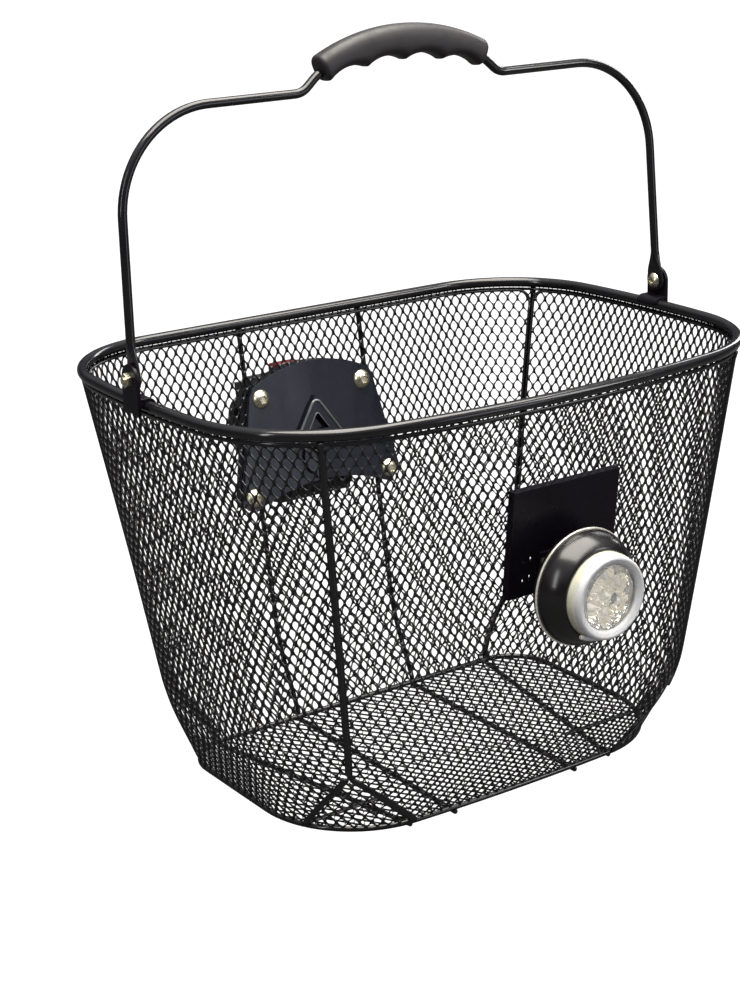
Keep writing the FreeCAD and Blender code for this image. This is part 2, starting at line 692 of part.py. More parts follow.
def make_inner_plate():
    inner = -size("mesh_thickness")
    body = plate_body("inner_plate", "$plate_thickness", False)
    body.Placement = WALL.multiply(Placement(Vector(0, inner, 0), Rotation()))
    face = inner - size("plate_thickness")
    apex, half, foot = size("frame_apex"), size("frame_half_base"), size("frame_foot")
    rib, rise = size("frame_rib"), size("frame_rise")
    slope = half / (apex + foot)
    outer = [Vector(-half, face - rise, -foot), Vector(0, face - rise, apex),
             Vector(half, face - rise, -foot)]
    drop = rib * 2.2
    inner_half = (apex - drop - rib) * slope
    window = [Vector(-inner_half, face - rise, rib), Vector(0, face - rise, apex - drop),
              Vector(inner_half, face - rise, rib)]
    outer_face = Part.Face(Part.makePolygon(outer + outer[:1]))
    window_face = Part.Face(Part.makePolygon(window + window[:1]))
    frame = helper("Part::Feature", "hook_frame")
    frame.Shape = outer_face.extrude(Vector(0, rise, 0))
    frame.Placement = WALL
    opening = helper("Part::Feature", "hook_window")
    opening.Shape = window_face.extrude(Vector(0, rise + size("plate_thickness") / 2, 0))
    opening.Placement = WALL
    boss = cylinder("plate_boss", "$boss_radius", "$boss_rise",
                    (0, face - size("boss_rise"), -size("boss_drop")), OUT, WALL)
    raised = fuse("inner_plate_raised", body, frame, boss)
    holes = bolt_holes("inner_plate", face - 1, "$plate_thickness + 2")
    node(cut("inner_plate_drilled", raised, opening, *holes), "adapter_plate")


def make_hook_plate():
    body = plate_body("hook_plate", "$hook_plate_thickness", True)
    body.Placement = WALL
    neck_bar = box("hook_neck", ("-$neck_half", "$hook_plate_thickness", "-$hook_half_height"),
                   ("$neck_half", "$hook_plate_thickness + $neck_height", "$hook_half_height"),
                   WALL)
    head = box("hook_head",
               ("-$head_half", "$hook_plate_thickness + $neck_height", "-$hook_half_height"),
               ("$head_half", "$hook_plate_thickness + $neck_height + $head_thickness",
                "$hook_half_height"), WALL)
    window = box("hook_latch_window",
                 ("-$latch_window_half", "$hook_plate_thickness + $neck_height",
                  "-$latch_window_bottom"),
                 ("$latch_window_half", "$hook_plate_thickness + $neck_height + $head_thickness",
                  "-$latch_window_top"), WALL)
    grooves = []
    for side in (-1, 1):
        middle = "%d * $back_wire_offset" % side
        grooves.append(box("wire_groove_%d" % (side + 1),
                           (middle + " - $wire_groove_width / 2", "0", "-$plate_top - 5"),
                           (middle + " + $wire_groove_width / 2", "$wire_groove_depth",
                            "$plate_top + 5"), WALL))
    holes = bolt_holes("hook_plate", -1, "$hook_plate_thickness + 2")
    whole = fuse("hook_plate_whole", body, neck_bar, head)
    node(cut("hook_plate_drilled", whole, window, *(grooves + holes)), "hook_plate")


def make_plate_fasteners():
    bolts, washers, nuts = [], [], []
    head_seat = -size("mesh_thickness") - size("plate_thickness")
    back = size("hook_plate_thickness")
    nut_seat = back + size("washer_thickness")
    for index, (x, z) in enumerate(BOLT_SPOTS):
        head = dome_head("plate_%d" % index, "$plate_dome_radius", "$plate_dome_height",
                         (x, head_seat, z), OUT * -1, WALL)
        shank = cylinder("plate_shank_%d" % index, "$plate_bolt_radius",
                         "$mesh_thickness + $plate_thickness + $hook_plate_thickness"
                         " + $washer_thickness + $plate_nut_height + 1",
                         (x, head_seat, z), OUT, WALL)
        bolts.append(fuse("plate_bolt_%d" % index, head, shank))
        disc = cylinder("washer_disc_%d" % index, "$washer_radius", "$washer_thickness",
                        (x, back, z), OUT, WALL)
        hole = cylinder("washer_hole_%d" % index, "$plate_bolt_radius", "$washer_thickness",
                        (x, back, z), OUT, WALL)
        washers.append(cut("washer_%d" % index, disc, hole))
        blank = prism("nut_blank_%d" % index, "$plate_nut_radius", "$plate_nut_height",
                      (x, nut_seat, z), OUT, WALL)
        thread = cylinder("nut_bore_%d" % index, "$plate_bolt_radius", "$plate_nut_height",
                          (x, nut_seat, z), OUT, WALL)
        nuts.append(cut("plate_nut_%d" % index, blank, thread))
    group("plate_bolts", bolts)
    group("plate_washers", washers)
    group("plate_nuts", nuts)


def drill_back_mesh():
    """Clear the four plate bolts through the back wall's mesh."""
    mesh = next(item for item in NODES if item.Label == "back_mesh")
    shape = mesh.Shape
    for x, z in BOLT_SPOTS:
        start = WALL.multVec(Vector(x, -4, z))
        shape = shape.cut(Part.makeCylinder(size("plate_bolt_radius"), 8, start,
                                            WALL.Rotation.multVec(OUT)))
    mesh.Shape = shape


# ---------------------------------------------------------------- handlebar bracket

def make_housing():
    """Bracket housing: T channel in front, latch room and button slot, bar saddles behind."""
    block = box("housing_block", ("-$housing_half", "$housing_front", "-$housing_foot"),
                ("$housing_half", "$housing_back", "$housing_top"), WALL)
    saddles = [
        box("saddle_%d" % index,
            (low, "$housing_back", "$bar_rise - $clamp_half_height"),
            (high, "$bar_offset - $clamp_split / 2", "$bar_rise + $clamp_half_height"), WALL)
        for index, (low, high) in enumerate((("-$clamp_outer", "-$clamp_inner"),
                                             ("$clamp_inner", "$clamp_outer")))]
    solid = fuse("housing_solid", block, *saddles)
    rooms = [
        box("neck_room", ("-$neck_half - $slide_gap", "0", "-$hook_half_height"),
            ("$neck_half + $slide_gap", "$hook_plate_thickness + $neck_height + 1",
             "$housing_top + 1"), WALL),
        box("head_room", ("-$head_half - $slide_gap",
                          "$hook_plate_thickness + $neck_height - $slide_gap",
                          "-$hook_half_height"),
            ("$head_half + $slide_gap",
             "$hook_plate_thickness + $neck_height + $head_thickness + $slide_gap",
             "$housing_top + 1"), WALL),
        box("latch_gate", ("-$latch_window_half", "$hook_plate_thickness + $neck_height",
                           "-$latch_window_bottom"),
            ("$latch_window_half", "$pocket_front + 1", "-$latch_window_top"), WALL),
        box("latch_room", ("-$pocket_half", "$pocket_front", "-$latch_room_half"),
            ("$pocket_half", "$latch_room_back", "$latch_room_half"), WALL),
        box("stem_room", ("-$pocket_half", "$pocket_front", "-$latch_window_top"),
            ("$pocket_half", "$stem_slot_back", "$housing_top + 1"), WALL),
        box("spring_room", ("-$spring_room_half", "$stem_slot_back - 1", "$spring_shelf"),
            ("$spring_room_half", "$pocket_back", "$housing_top + 1"), WALL),
        box("head_slot", ("-$pocket_half", "$pocket_front", "$pocket_head - $button_travel - 0.5"),
            ("$pocket_half", "$pocket_back", "$housing_top + 1"), WALL),
        cylinder("bar_room", "$bar_radius + $shim_thickness", "2 * $housing_half + 2",
                 (-size("housing_half") - 1, size("bar_offset"), size("bar_rise")),
                 Vector(1, 0, 0), WALL),
    ]
    seats = [cylinder("insert_seat_%d" % index, "$insert_radius", "$insert_length + 1",
                      (x, size("bar_offset") - size("clamp_split") / 2 - size("insert_length"), z),
                      OUT, WALL) for index, (x, z) in enumerate(clamp_spots())]
    node(cut("housing_cut", solid, *(rooms + seats)), "bracket_housing")


def clamp_spots():
    middle = (size("clamp_inner") + size("clamp_outer")) / 2
    spread, rise = size("clamp_bolt_spread"), size("bar_rise")
    return [(sx * middle, rise + sz * spread) for sx in (-1, 1) for sz in (-1, 1)]


def make_clamps():
    """Two caps that close round the handlebar, with rubber half shims on both sides."""
    caps, shims = [], []
    for index, side in enumerate((-1, 1)):
        low, high = sorted((side * size("clamp_inner"), side * size("clamp_outer")))
        bar = (low, size("bar_offset"), size("bar_rise"))
        across = Vector(1, 0, 0)
        width = "$clamp_outer - $clamp_inner"
        hoop = cylinder("cap_hoop_%d" % index, "$bar_radius + $shim_thickness + $clamp_wall",
                        width, bar, across, WALL)
        ears = box("cap_ears_%d" % index,
                   (str(low), "$bar_offset", "$bar_rise - $clamp_half_height"),
                   (str(high), "$bar_offset + $clamp_ear", "$bar_rise + $clamp_half_height"), WALL)
        front_half = box("cap_front_%d" % index,
                         (str(low - 1), "0", "$bar_rise - 40"),
                         (str(high + 1), "$bar_offset + $clamp_split / 2", "$bar_rise + 40"), WALL)
        bore = cylinder("cap_bore_%d" % index, "$bar_radius + $shim_thickness", width, bar,
                        across, WALL)
        holes = [cylinder("cap_hole_%d_%d" % (index, number), "$clamp_bolt_radius", "20",
                          (x, size("bar_offset") - 2, z), OUT, WALL)
                 for number, (x, z) in enumerate(clamp_spots()) if x * side > 0]
        caps.append(cut("clamp_cap_%d" % index, fuse("cap_solid_%d" % index, hoop, ears),
                        front_half, bore, *holes))
        for half, (start, end) in enumerate((("$bar_offset - 30", "$bar_offset - $clamp_split / 2"),
                                             ("$bar_offset + $clamp_split / 2",
                                              "$bar_offset + 30"))):
            tag = "%d_%d" % (index, half)
            sleeve = cylinder("shim_sleeve_" + tag, "$bar_radius + $shim_thickness", width, bar,
                              across, WALL)
            hole = cylinder("shim_hole_" + tag, "$bar_radius", width, bar, across, WALL)
            keep = box("shim_keep_" + tag, (str(low), start, "$bar_rise - 30"),
                       (str(high), end, "$bar_rise + 30"), WALL)
            part = helper("Part::Common", "shim_" + tag)
            part.Base = cut("shim_ring_" + tag, sleeve, hole)
            part.Tool = keep
            shims.append(part)
    group("clamp_caps", caps)
    group("bar_shims", shims)


def make_clamp_fasteners():
    bolts, inserts = [], []
    seat = size("bar_offset") + size("clamp_ear")
    face = size("bar_offset") - size("clamp_split") / 2
    for index, (x, z) in enumerate(clamp_spots()):
        head = cylinder("clamp_head_%d" % index, "$clamp_head_radius", "$clamp_head_height",
                        (x, seat, z), OUT, WALL)
        socket = prism("clamp_socket_%d" % index, "$clamp_head_radius * 0.55",
                       "$clamp_head_height", (x, seat + size("clamp_head_height") / 2, z), OUT, WALL)
        start = face - size("insert_length") + 1
        shank = cylinder("clamp_shank_%d" % index, "$clamp_bolt_radius",
                         "$insert_length - 1 + $clamp_ear + $clamp_split / 2", (x, start, z),
                         OUT, WALL)
        bolts.append(fuse("clamp_bolt_%d" % index, cut("clamp_head_cut_%d" % index, head, socket),
                          shank))
        sleeve = cylinder("insert_sleeve_%d" % index, "$insert_radius", "$insert_length",
                          (x, face - size("insert_length"), z), OUT, WALL)
        bore = cylinder("insert_bore_%d" % index, "$clamp_bolt_radius", "$insert_length",
                        (x, face - size("insert_length") + 1, z), OUT, WALL)
        inserts.append(cut("clamp_insert_%d" % index, sleeve, bore))
    group("clamp_bolts", bolts)
    group("clamp_inserts", inserts)


def wedge(name, low_y, high_y, low_z, high_z, half, above):
    """A bar whose end is cut at 45 degrees: above keeps the upper front side of the ramp."""
    offset = size("slide_gap") * math.sqrt(2) if above else 0.0
    base = size("ramp_start") + offset - size("latch_plate_front")
    if above:
        outline = [(low_y, base + low_y), (high_y, base + high_y), (high_y, high_z),
                   (low_y, high_z)]
    else:
        outline = [(low_y, low_z), (high_y, low_z), (high_y, high_z), (low_y, base + low_y)]
    points = [Vector(-half, y, z) for y, z in outline]
    face = Part.Face(Part.makePolygon(points + points[:1]))
    made = helper("Part::Feature", name)
    made.Shape = face.extrude(Vector(2 * half, 0, 0))
    made.Placement = WALL
    return made


def make_latch_and_button():
    """The button's 45 degree stem pushes the latch back out of the hook's window."""
    gap = size("slide_gap")
    plate = wedge("latch_plate", size("latch_plate_front"), size("latch_plate_back"),
                  -size("latch_half_height"), size("latch_half_height"),
                  size("pocket_half") - gap, False)
    tooth = box("latch_tooth", ("-$latch_window_half + $slide_gap", "$latch_front",
                                "-$latch_window_bottom + $slide_gap"),
                ("$latch_window_half - $slide_gap", "$latch_plate_front",
                 "-$latch_window_top - $slide_gap"), WALL)
    node(fuse("latch_whole", plate, tooth), "latch")
    stem = wedge("button_stem", size("pocket_front") + gap, size("stem_slot_back") - 0.9, 0,
                 size("pocket_head"), size("pocket_half") - gap, True)
    head = box("button_head", ("-$pocket_half + $slide_gap", "$pocket_front + $slide_gap",
                               "$pocket_head"),
               ("$pocket_half - $slide_gap", "$pocket_back - $slide_gap", "$button_head_top"), WALL)
    rounded = helper("Part::Fillet", "button_head_round")
    rounded.Base = head
    doc.recompute()
    top_edges = [index for index, edge in enumerate(head.Shape.Edges, start=1)
                 if all(WALL.inverse().multVec(point.Point).z > size("button_head_top") - 0.1
                        for point in edge.Vertexes)]
    rounded.Edges = [(index, 1.5, 1.5) for index in top_edges]
    node(fuse("button_whole", rounded, stem), "release_button")


def make_button_spring():
    """Return spring between the housing's shelf and the button's head."""
    wire, radius = size("spring_wire"), size("spring_radius") - size("spring_wire")
    low, high = size("spring_shelf") + wire + 0.05, size("pocket_head") - wire - 0.05
    pitch = (high - low) / size("spring_turns")
    helix = Part.makeHelix(pitch, high - low, radius)
    profile = Part.Wire([Part.makeCircle(wire, Vector(radius, 0, 0), Vector(0, 1, 0))])
    coil = Part.Wire(helix.Edges).makePipeShell([profile], True, True)
    middle = (size("stem_slot_back") + size("pocket_back")) / 2
    coil.translate(Vector(0, middle, low))
    coil.Placement = WALL.multiply(coil.Placement)
    solid_feature("button_spring", coil)


# ---------------------------------------------------------------- light plate and lamp

FRONT_LEAN = math.atan((size("rim_front") + size("rim_front_bulge") - size("bend_front")
                        - size("bend_front_bulge")) / PANEL_RISE)
FRONT_Y = (math.tan(FRONT_LEAN) * (PANEL_TOP - size("light_plate_height"))
           - size("rim_front") - size("rim_front_bulge") - HALF_MESH)
# In this frame -Y points out of the front wall and Z runs up the wall.
FRONT = Placement(Vector(0, FRONT_Y, size("light_plate_height")),
                  Rotation(Vector(1, 0, 0), math.degrees(FRONT_LEAN)))
FORWARD = Vector(0, -1, 0)
PLATE_FACE = -(size("light_plate_stand_off") + size("light_plate_thickness"))
SCREW_SPOTS = [(side * size("bracket_screw_offset"), -size("bracket_screw_drop"))
               for side in (-1, 1)]
# Small slots low on the plate's right: across, up, length.
LIGHT_SLOTS = ((-26.0, -10.0, 1.8), (-21.5, -9.5, 2.4), (-26.0, -20.5, 3.5), (-21.5, -20.5, 3.5))
SLOT_HALF = 0.9


def make_light_plate():
    """Folded pan: a flat face with turned-back sides and top, and a few slots low on one side."""
    face = box("light_face",
               ("-$light_plate_half_width", "-$light_plate_stand_off - $light_plate_thickness",
                "-$light_plate_half_rise"),
               ("$light_plate_half_width", "-$light_plate_stand_off", "$light_plate_half_rise"),
               FRONT)
    flanges = []
    for side in (-1, 1):
        edge = "%d * $light_plate_half_width" % side
        inner = "%d * ($light_plate_half_width - $light_plate_thickness)" % side
        low, high = (edge, inner) if side < 0 else (inner, edge)
        flanges.append(box("light_flange_%d" % (side + 1),
                           (low, "-$light_plate_stand_off", "-$light_plate_half_rise"),
                           (high, "-0.1", "$light_plate_half_rise"), FRONT))
    flanges.append(box("light_flange_top",
                       ("-$light_plate_half_width", "-$light_plate_stand_off",
                        "$light_plate_half_rise - $light_plate_thickness"),
                       ("$light_plate_half_width", "-0.1", "$light_plate_half_rise"), FRONT))
    slots = [box("light_slot_%d" % index,
                 (str(x - SLOT_HALF), "-10", str(z - length / 2)),
                 (str(x + SLOT_HALF), "0", str(z + length / 2)), FRONT)
             for index, (x, z, length) in enumerate(LIGHT_SLOTS)]
    holes = [cylinder("light_screw_hole_%d" % index, "$bracket_screw_radius", "12", (x, 2, z),
                      FORWARD, FRONT) for index, (x, z) in enumerate(SCREW_SPOTS)]
    whole = fuse("light_plate_whole", face, *flanges)
    node(cut("light_plate_cut", whole, *(slots + holes)), "light_plate")


LAMP_PIVOT = Vector(0, -size("lamp_pivot_forward"), size("lamp_axis_height"))


def make_lamp_bracket():
    """Base strip on the light plate with two ears that hold the lamp's pivot."""
    base = box("lamp_bracket_base",
               ("-$bracket_half", str(PLATE_FACE - size("ear_thickness")), "-$bracket_high"),
               ("$bracket_half", str(PLATE_FACE), "-$bracket_low"), FRONT)
    ears = []
    for side in (-1, 1):
        start, end = sorted((side * size("ear_inner"), side * (size("ear_inner")
                                                               + size("ear_thickness"))))
        low, high = -size("bracket_high"), -size("bracket_low") - 2
        root = [FRONT.multVec(Vector(start, PLATE_FACE - 0.5, z)) for z in (low, high)]
        root_tip = FRONT.multVec(Vector(start, PLATE_FACE - 4.0, high))
        pivot = Vector(start, LAMP_PIVOT.y, LAMP_PIVOT.z)
        radius = size("ear_radius")
        outline = [root[0], root[1], root_tip, pivot + Vector(0, -radius * 0.8, radius * 0.6),
                   pivot + Vector(0, radius * 0.8, -radius * 0.6)]
        web = Part.Face(Part.makePolygon(outline + outline[:1])).extrude(Vector(end - start, 0, 0))
        disc = Part.makeCylinder(radius, end - start, pivot, Vector(1, 0, 0))
        hole = Part.makeCylinder(size("lamp_bolt_radius"), end - start, pivot, Vector(1, 0, 0))
        ear = helper("Part::Feature", "lamp_ear_%d" % (side + 1))
        ear.Shape = web.fuse(disc).cut(hole)
        ears.append(ear)
    holes = [cylinder("bracket_screw_hole_%d" % index, "$bracket_screw_radius", "12", (x, 2, z),
                      FORWARD, FRONT) for index, (x, z) in enumerate(SCREW_SPOTS)]
    node(cut("lamp_bracket_cut", fuse("lamp_bracket_whole", base, *ears), *holes), "lamp_bracket")
    screws = []
    for index, (x, z) in enumerate(SCREW_SPOTS):
        seat = PLATE_FACE - size("ear_thickness")
        head = cylinder("bracket_screw_head_%d" % index, "$bracket_screw_head_radius",
                        "$bracket_screw_head_height", (x, seat, z), FORWARD, FRONT)
        shank = cylinder("bracket_screw_shank_%d" % index, "$bracket_screw_radius",
                         "$ear_thickness + $light_plate_thickness + 1.5",
                         (x, seat, z), OUT, FRONT)
        screws.append(fuse("bracket_screw_%d" % index, head, shank))
    group("lamp_bracket_screws", screws)


def make_lamp_pivot():
    outer = size("ear_inner") + size("ear_thickness")
    across = Vector(1, 0, 0)
    head = cylinder("lamp_bolt_head", "$lamp_bolt_head_radius", "$lamp_bolt_head_height",
                    LAMP_PIVOT - across * outer, across * -1)
    shank = cylinder("lamp_bolt_shank", "$lamp_bolt_radius",
                     "2 * ($ear_inner + $ear_thickness) + 4", LAMP_PIVOT - across * outer, across)
    node(fuse("lamp_bolt_whole", head, shank), "lamp_pivot_bolt")
    blank = prism("lamp_nut_blank", "$pivot_nut_radius", "$pivot_nut_height",
                  LAMP_PIVOT + across * outer, across)
    bore = cylinder("lamp_nut_bore", "$lamp_bolt_radius", "$pivot_nut_height",
                    LAMP_PIVOT + across * outer, across)
    node(cut("lamp_nut_cut", blank, bore), "lamp_pivot_nut")


def lamp_at(forward, rise=0.0, x=0.0):
    """A point of the lamp, by its distance in front of the origin."""
    return Vector(x, -forward, size("lamp_axis_height") + rise)


def disc(name, radius, back, front):
    """A disc on the lamp's axis between two distances in front of the origin."""
    return cylinder(name, radius, "%s - %s" % (front, back),
                    lamp_at(size(back.strip("$"))), FORWARD)


def make_lamp_shells():
    wall = "$shell_wall"
    rear = disc("rear_disc", "$lamp_back_radius", "$lamp_back", "$lamp_ring_back")
    hollow = cylinder("rear_hollow", "$lamp_back_radius - " + wall, "10",
                      lamp_at(size("lamp_back") + size("shell_wall")), FORWARD)
    arm = box("rear_arm", ("-$boss_half", "-$lamp_back - 0.5", "$lamp_axis_height - $lamp_boss_radius"),
              ("$boss_half", "-$lamp_pivot_forward", "$lamp_axis_height + $lamp_boss_radius"))
    boss = cylinder("rear_boss", "$lamp_boss_radius", "2 * $boss_half",
                    LAMP_PIVOT - Vector(size("boss_half"), 0, 0), Vector(1, 0, 0))
    bore = cylinder("rear_bore", "$lamp_bolt_radius + 0.06", "2 * $boss_half + 2",
                    LAMP_PIVOT - Vector(size("boss_half") + 1, 0, 0), Vector(1, 0, 0))
    switch_hole = cylinder("switch_hole", "$switch_radius + $switch_gap", "10",
                           lamp_at(size("lamp_back") - 4, -size("switch_drop")), FORWARD)
    node(cut("rear_shell_cut", fuse("rear_shell_whole", rear, arm, boss), hollow, bore,
             switch_hole), "lamp_rear_shell")

    ring = disc("ring_disc", "$lamp_ring_radius", "$lamp_ring_back", "$lamp_ring_front")
    ring_hole = disc("ring_hole", "$lamp_back_radius - " + wall, "$lamp_ring_back",
                     "$lamp_ring_front")
    node(cut("ring_cut", ring, ring_hole), "lamp_edge_ring")

    bell = cone("bell_outer", "$bell_radius", "$bell_mouth_radius",
                "$bell_front - $lamp_ring_front", lamp_at(size("lamp_ring_front")), FORWARD)
    inside = cone("bell_inner", "$bell_radius - " + wall, "$bell_mouth_radius - " + wall,
                  "$bell_front - $lamp_ring_front", lamp_at(size("lamp_ring_front")), FORWARD)
    mouth = cylinder("bell_mouth", "$bezel_radius", "10", lamp_at(size("bezel_back")), FORWARD)
    node(cut("bell_cut", bell, inside, mouth), "lamp_bell")


def make_lamp_front():
    bezel = disc("bezel_disc", "$bezel_radius", "$bezel_back", "$bezel_front")
    bezel_hole = disc("bezel_hole", "$bezel_inner_radius", "$bezel_back", "$bezel_front")
    node(cut("bezel_cut", bezel, bezel_hole), "lamp_bezel")
    node(disc("lens_disc", "$lens_radius", "$lens_back", "$lens_front"), "lamp_lens")
    cup = cone("reflector_outer", "$lens_radius - 3", "$lens_radius",
               "$lens_back - $reflector_back", lamp_at(size("reflector_back")), FORWARD)
    hollow = cone("reflector_inner", "$lens_radius - 4.2", "$lens_radius - 1.2",
                  "$lens_back - $reflector_back - 1.2", lamp_at(size("reflector_back") + 1.2),
                  FORWARD)
    leds, holes = [], []
    spots = [(0.0, 0.0)] + [(size("led_circle") * math.cos(math.radians(60 * turn)),
                             size("led_circle") * math.sin(math.radians(60 * turn)))
                            for turn in range(6)]
    board_front = size("board_back") + size("board_thickness")
    for index, (x, rise) in enumerate(spots):
        barrel = cylinder("led_barrel_%d" % index, "$led_radius", "$led_length - $led_radius",
                          lamp_at(board_front, rise, x), FORWARD)
        dome = helper("Part::Sphere", "led_dome_%d" % index)
        bind(dome, Radius="$led_radius")
        place(dome, lamp_at(board_front + size("led_length") - size("led_radius"), rise, x))
        leds.append(fuse("led_%d" % index, barrel, dome))
        holes.append(cylinder("led_hole_%d" % index, "$led_radius + 0.05", "6",
                              lamp_at(size("reflector_back") - 1, rise, x), FORWARD))
    node(cut("reflector_cut", cup, hollow, *holes), "lamp_reflector")
    group("lamp_leds", leds)


def make_lamp_core():
    node(cylinder("board_disc", "$board_radius", "$board_thickness",
                  lamp_at(size("board_back")), FORWARD), "lamp_circuit_board")
    cells = [cylinder("cell_%d" % index, "$cell_radius", "$cell_thickness",
                      lamp_at(size("cell_back") + index * (size("cell_thickness") + 0.05), 4.0),
                      FORWARD) for index in range(2)]
    group("lamp_coin_cells", cells)
    contact = box("contact_strip", ("-3", "-$board_back", "$lamp_axis_height - 4"),
                  ("3", "-$board_back + 0.6", "$lamp_axis_height + 12"))
    node(contact, "lamp_battery_contact")
    node(cylinder("switch_plunger", "$switch_radius", "$switch_length",
                  lamp_at(size("lamp_back") - size("switch_proud"), -size("switch_drop")),
                  FORWARD), "lamp_switch_button")


def check_document():
    doc.recompute()
    for item in doc.Objects:
        if "Invalid" in item.State or "Error" in item.State:
            raise RuntimeError("%s did not recompute: %s" % (item.Name, item.State))
    for item in NODES:
        if item.Shape.isNull() or not item.Shape.isValid() or item.Shape.Volume <= 0:
            raise RuntimeError("%s has no valid shape" % item.Label)


make_rings()
make_panels()
make_gussets()
make_floor()
make_back_wires()
make_corner_wires()
handle_wire = make_handle_wire()
solid_feature("handle_wire", handle_wire)
make_grip(handle_wire)
make_tabs()
make_pivot_bolts()
make_inner_plate()
make_hook_plate()
make_plate_fasteners()
drill_back_mesh()
make_housing()
make_clamps()
make_clamp_fasteners()
make_latch_and_button()
make_button_spring()
make_light_plate()
make_lamp_bracket()
make_lamp_pivot()
make_lamp_shells()
make_lamp_front()
make_lamp_core()
check_document()

os.makedirs("parts", exist_ok=True)
for item in NODES:
    item.Shape.exportStep("parts/%s.step" % item.Label)
    print("%-26s solids %d  volume %.0f" % (item.Label, len(item.Shape.Solids), item.Shape.Volume))
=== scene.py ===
import bpy
import bmesh
import json
import math
import numpy as np
from mathutils import Matrix, Vector


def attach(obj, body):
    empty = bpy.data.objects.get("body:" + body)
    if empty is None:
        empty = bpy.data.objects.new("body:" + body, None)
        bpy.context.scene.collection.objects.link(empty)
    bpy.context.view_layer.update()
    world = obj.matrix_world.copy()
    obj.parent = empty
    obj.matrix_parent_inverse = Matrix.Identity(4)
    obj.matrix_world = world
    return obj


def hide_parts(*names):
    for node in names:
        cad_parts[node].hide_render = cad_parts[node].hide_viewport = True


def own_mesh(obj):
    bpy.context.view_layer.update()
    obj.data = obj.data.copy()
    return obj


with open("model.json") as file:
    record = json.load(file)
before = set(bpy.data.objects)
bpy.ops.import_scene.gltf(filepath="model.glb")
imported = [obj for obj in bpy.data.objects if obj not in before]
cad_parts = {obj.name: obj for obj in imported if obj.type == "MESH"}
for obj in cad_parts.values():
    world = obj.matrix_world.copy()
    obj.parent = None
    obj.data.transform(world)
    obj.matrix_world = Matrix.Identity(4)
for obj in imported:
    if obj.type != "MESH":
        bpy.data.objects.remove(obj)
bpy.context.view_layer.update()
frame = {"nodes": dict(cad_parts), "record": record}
MM = 0.001

# ---------------- materials


def noise(tree, scale, detail=3.0, stretch=None, seed=0.0):
    """A noise texture in the piece's own coordinates, in metres."""
    coords = tree.nodes.new("ShaderNodeTexCoord")
    mapping = tree.nodes.new("ShaderNodeMapping")
    mapping.inputs["Location"].default_value = (seed, seed * 0.7, seed * 1.3)
    if stretch:
        mapping.inputs["Scale"].default_value = stretch
    texture = tree.nodes.new("ShaderNodeTexNoise")
    texture.inputs["Scale"].default_value = scale
    texture.inputs["Detail"].default_value = detail
    tree.links.new(coords.outputs["Object"], mapping.inputs["Vector"])
    tree.links.new(mapping.outputs["Vector"], texture.inputs["Vector"])
    return texture.outputs["Fac"]


def ramp(tree, value, low, high, start=0.3, end=0.7):
    """A colour or number that runs from low to high as the value goes from start to end."""
    if isinstance(low, tuple):
        node = tree.nodes.new("ShaderNodeValToRGB")
        node.color_ramp.elements[0].position = start
        node.color_ramp.elements[1].position = end
        node.color_ramp.elements[0].color = low + (1.0,)
        node.color_ramp.elements[1].color = high + (1.0,)
        tree.links.new(value, node.inputs["Fac"])
        return node.outputs["Color"]
    node = tree.nodes.new("ShaderNodeMapRange")
    node.inputs["From Min"].default_value = start
    node.inputs["From Max"].default_value = end
    node.inputs["To Min"].default_value = low
    node.inputs["To Max"].default_value = high
    tree.links.new(value, node.inputs["Value"])
    return node.outputs["Result"]


def material(name, low, high, rough, metallic=0.0, tone_scale=60.0, rough_scale=220.0,
             bump=0.0, bump_scale=1500.0, stretch=None, **sockets):
    """A Principled material whose colour, roughness and bump vary over the surface."""
    made = bpy.data.materials.new(name)
    made.use_nodes = True
    tree = made.node_tree
    shader = tree.nodes["Principled BSDF"]
    shader.inputs["Metallic"].default_value = metallic
    tone = noise(tree, tone_scale, 4.0, stretch)
    tree.links.new(ramp(tree, tone, low, high), shader.inputs["Base Color"])
    grain = noise(tree, rough_scale, 3.0, stretch, 3.1)
    tree.links.new(ramp(tree, grain, rough[0], rough[1]), shader.inputs["Roughness"])
    if bump:
        relief = noise(tree, bump_scale, 2.0, None, 7.7)
        node = tree.nodes.new("ShaderNodeBump")
        node.inputs["Strength"].default_value = bump
        node.inputs["Distance"].default_value = 0.0001
        tree.links.new(relief, node.inputs["Height"])
        tree.links.new(node.outputs["Normal"], shader.inputs["Normal"])
    for key, value in sockets.items():
        shader.inputs[key.replace("_", " ")].default_value = value
    return made


ENAMEL = material("gloss_black_enamel", (0.0055, 0.005, 0.006), (0.010, 0.0095, 0.011), (0.1, 0.18),
    bump=0.08, bump_scale=900.0)
MESH = material("black_enamel_on_mesh", (0.0055, 0.005, 0.006), (0.010, 0.009, 0.011), (0.2, 0.34),
    bump=0.15, bump_scale=1100.0, Specular_IOR_Level=0.45)
SHEET = material("satin_black_sheet", (0.0035, 0.0028, 0.005), (0.006, 0.0045, 0.008), (0.25, 0.35),
    bump=0.1, bump_scale=1600.0, Specular_IOR_Level=0.15)
PLATE = material("gloss_blue_black_plastic", (0.004, 0.0045, 0.009), (0.008, 0.009, 0.016),
    (0.12, 0.24), rough_scale=90.0, stretch=(1.0, 1.0, 0.12), bump=0.06, bump_scale=500.0)
# Painted highlight: the plate's ridges are its own black plastic, painted a lighter grey where
# light catches their raised edges.
RIDGE_PAINTED_HIGHLIGHT = material("plastic_edge_painted_highlight", (0.06, 0.062, 0.072), (0.12, 0.122, 0.135), (0.1, 0.2),
    bump=0.05, bump_scale=500.0, Specular_IOR_Level=1.0)
GRIP = material("satin_grey_plastic", (0.013, 0.011, 0.0125), (0.021, 0.0185, 0.021), (0.42, 0.56),
    bump=0.35, bump_scale=2600.0, Specular_IOR_Level=0.45)
ZINC = material("pale_zinc", (0.60, 0.55, 0.40), (0.80, 0.76, 0.60), (0.22, 0.38), metallic=1.0,
    tone_scale=500.0, rough_scale=900.0, bump=0.2, bump_scale=2200.0)
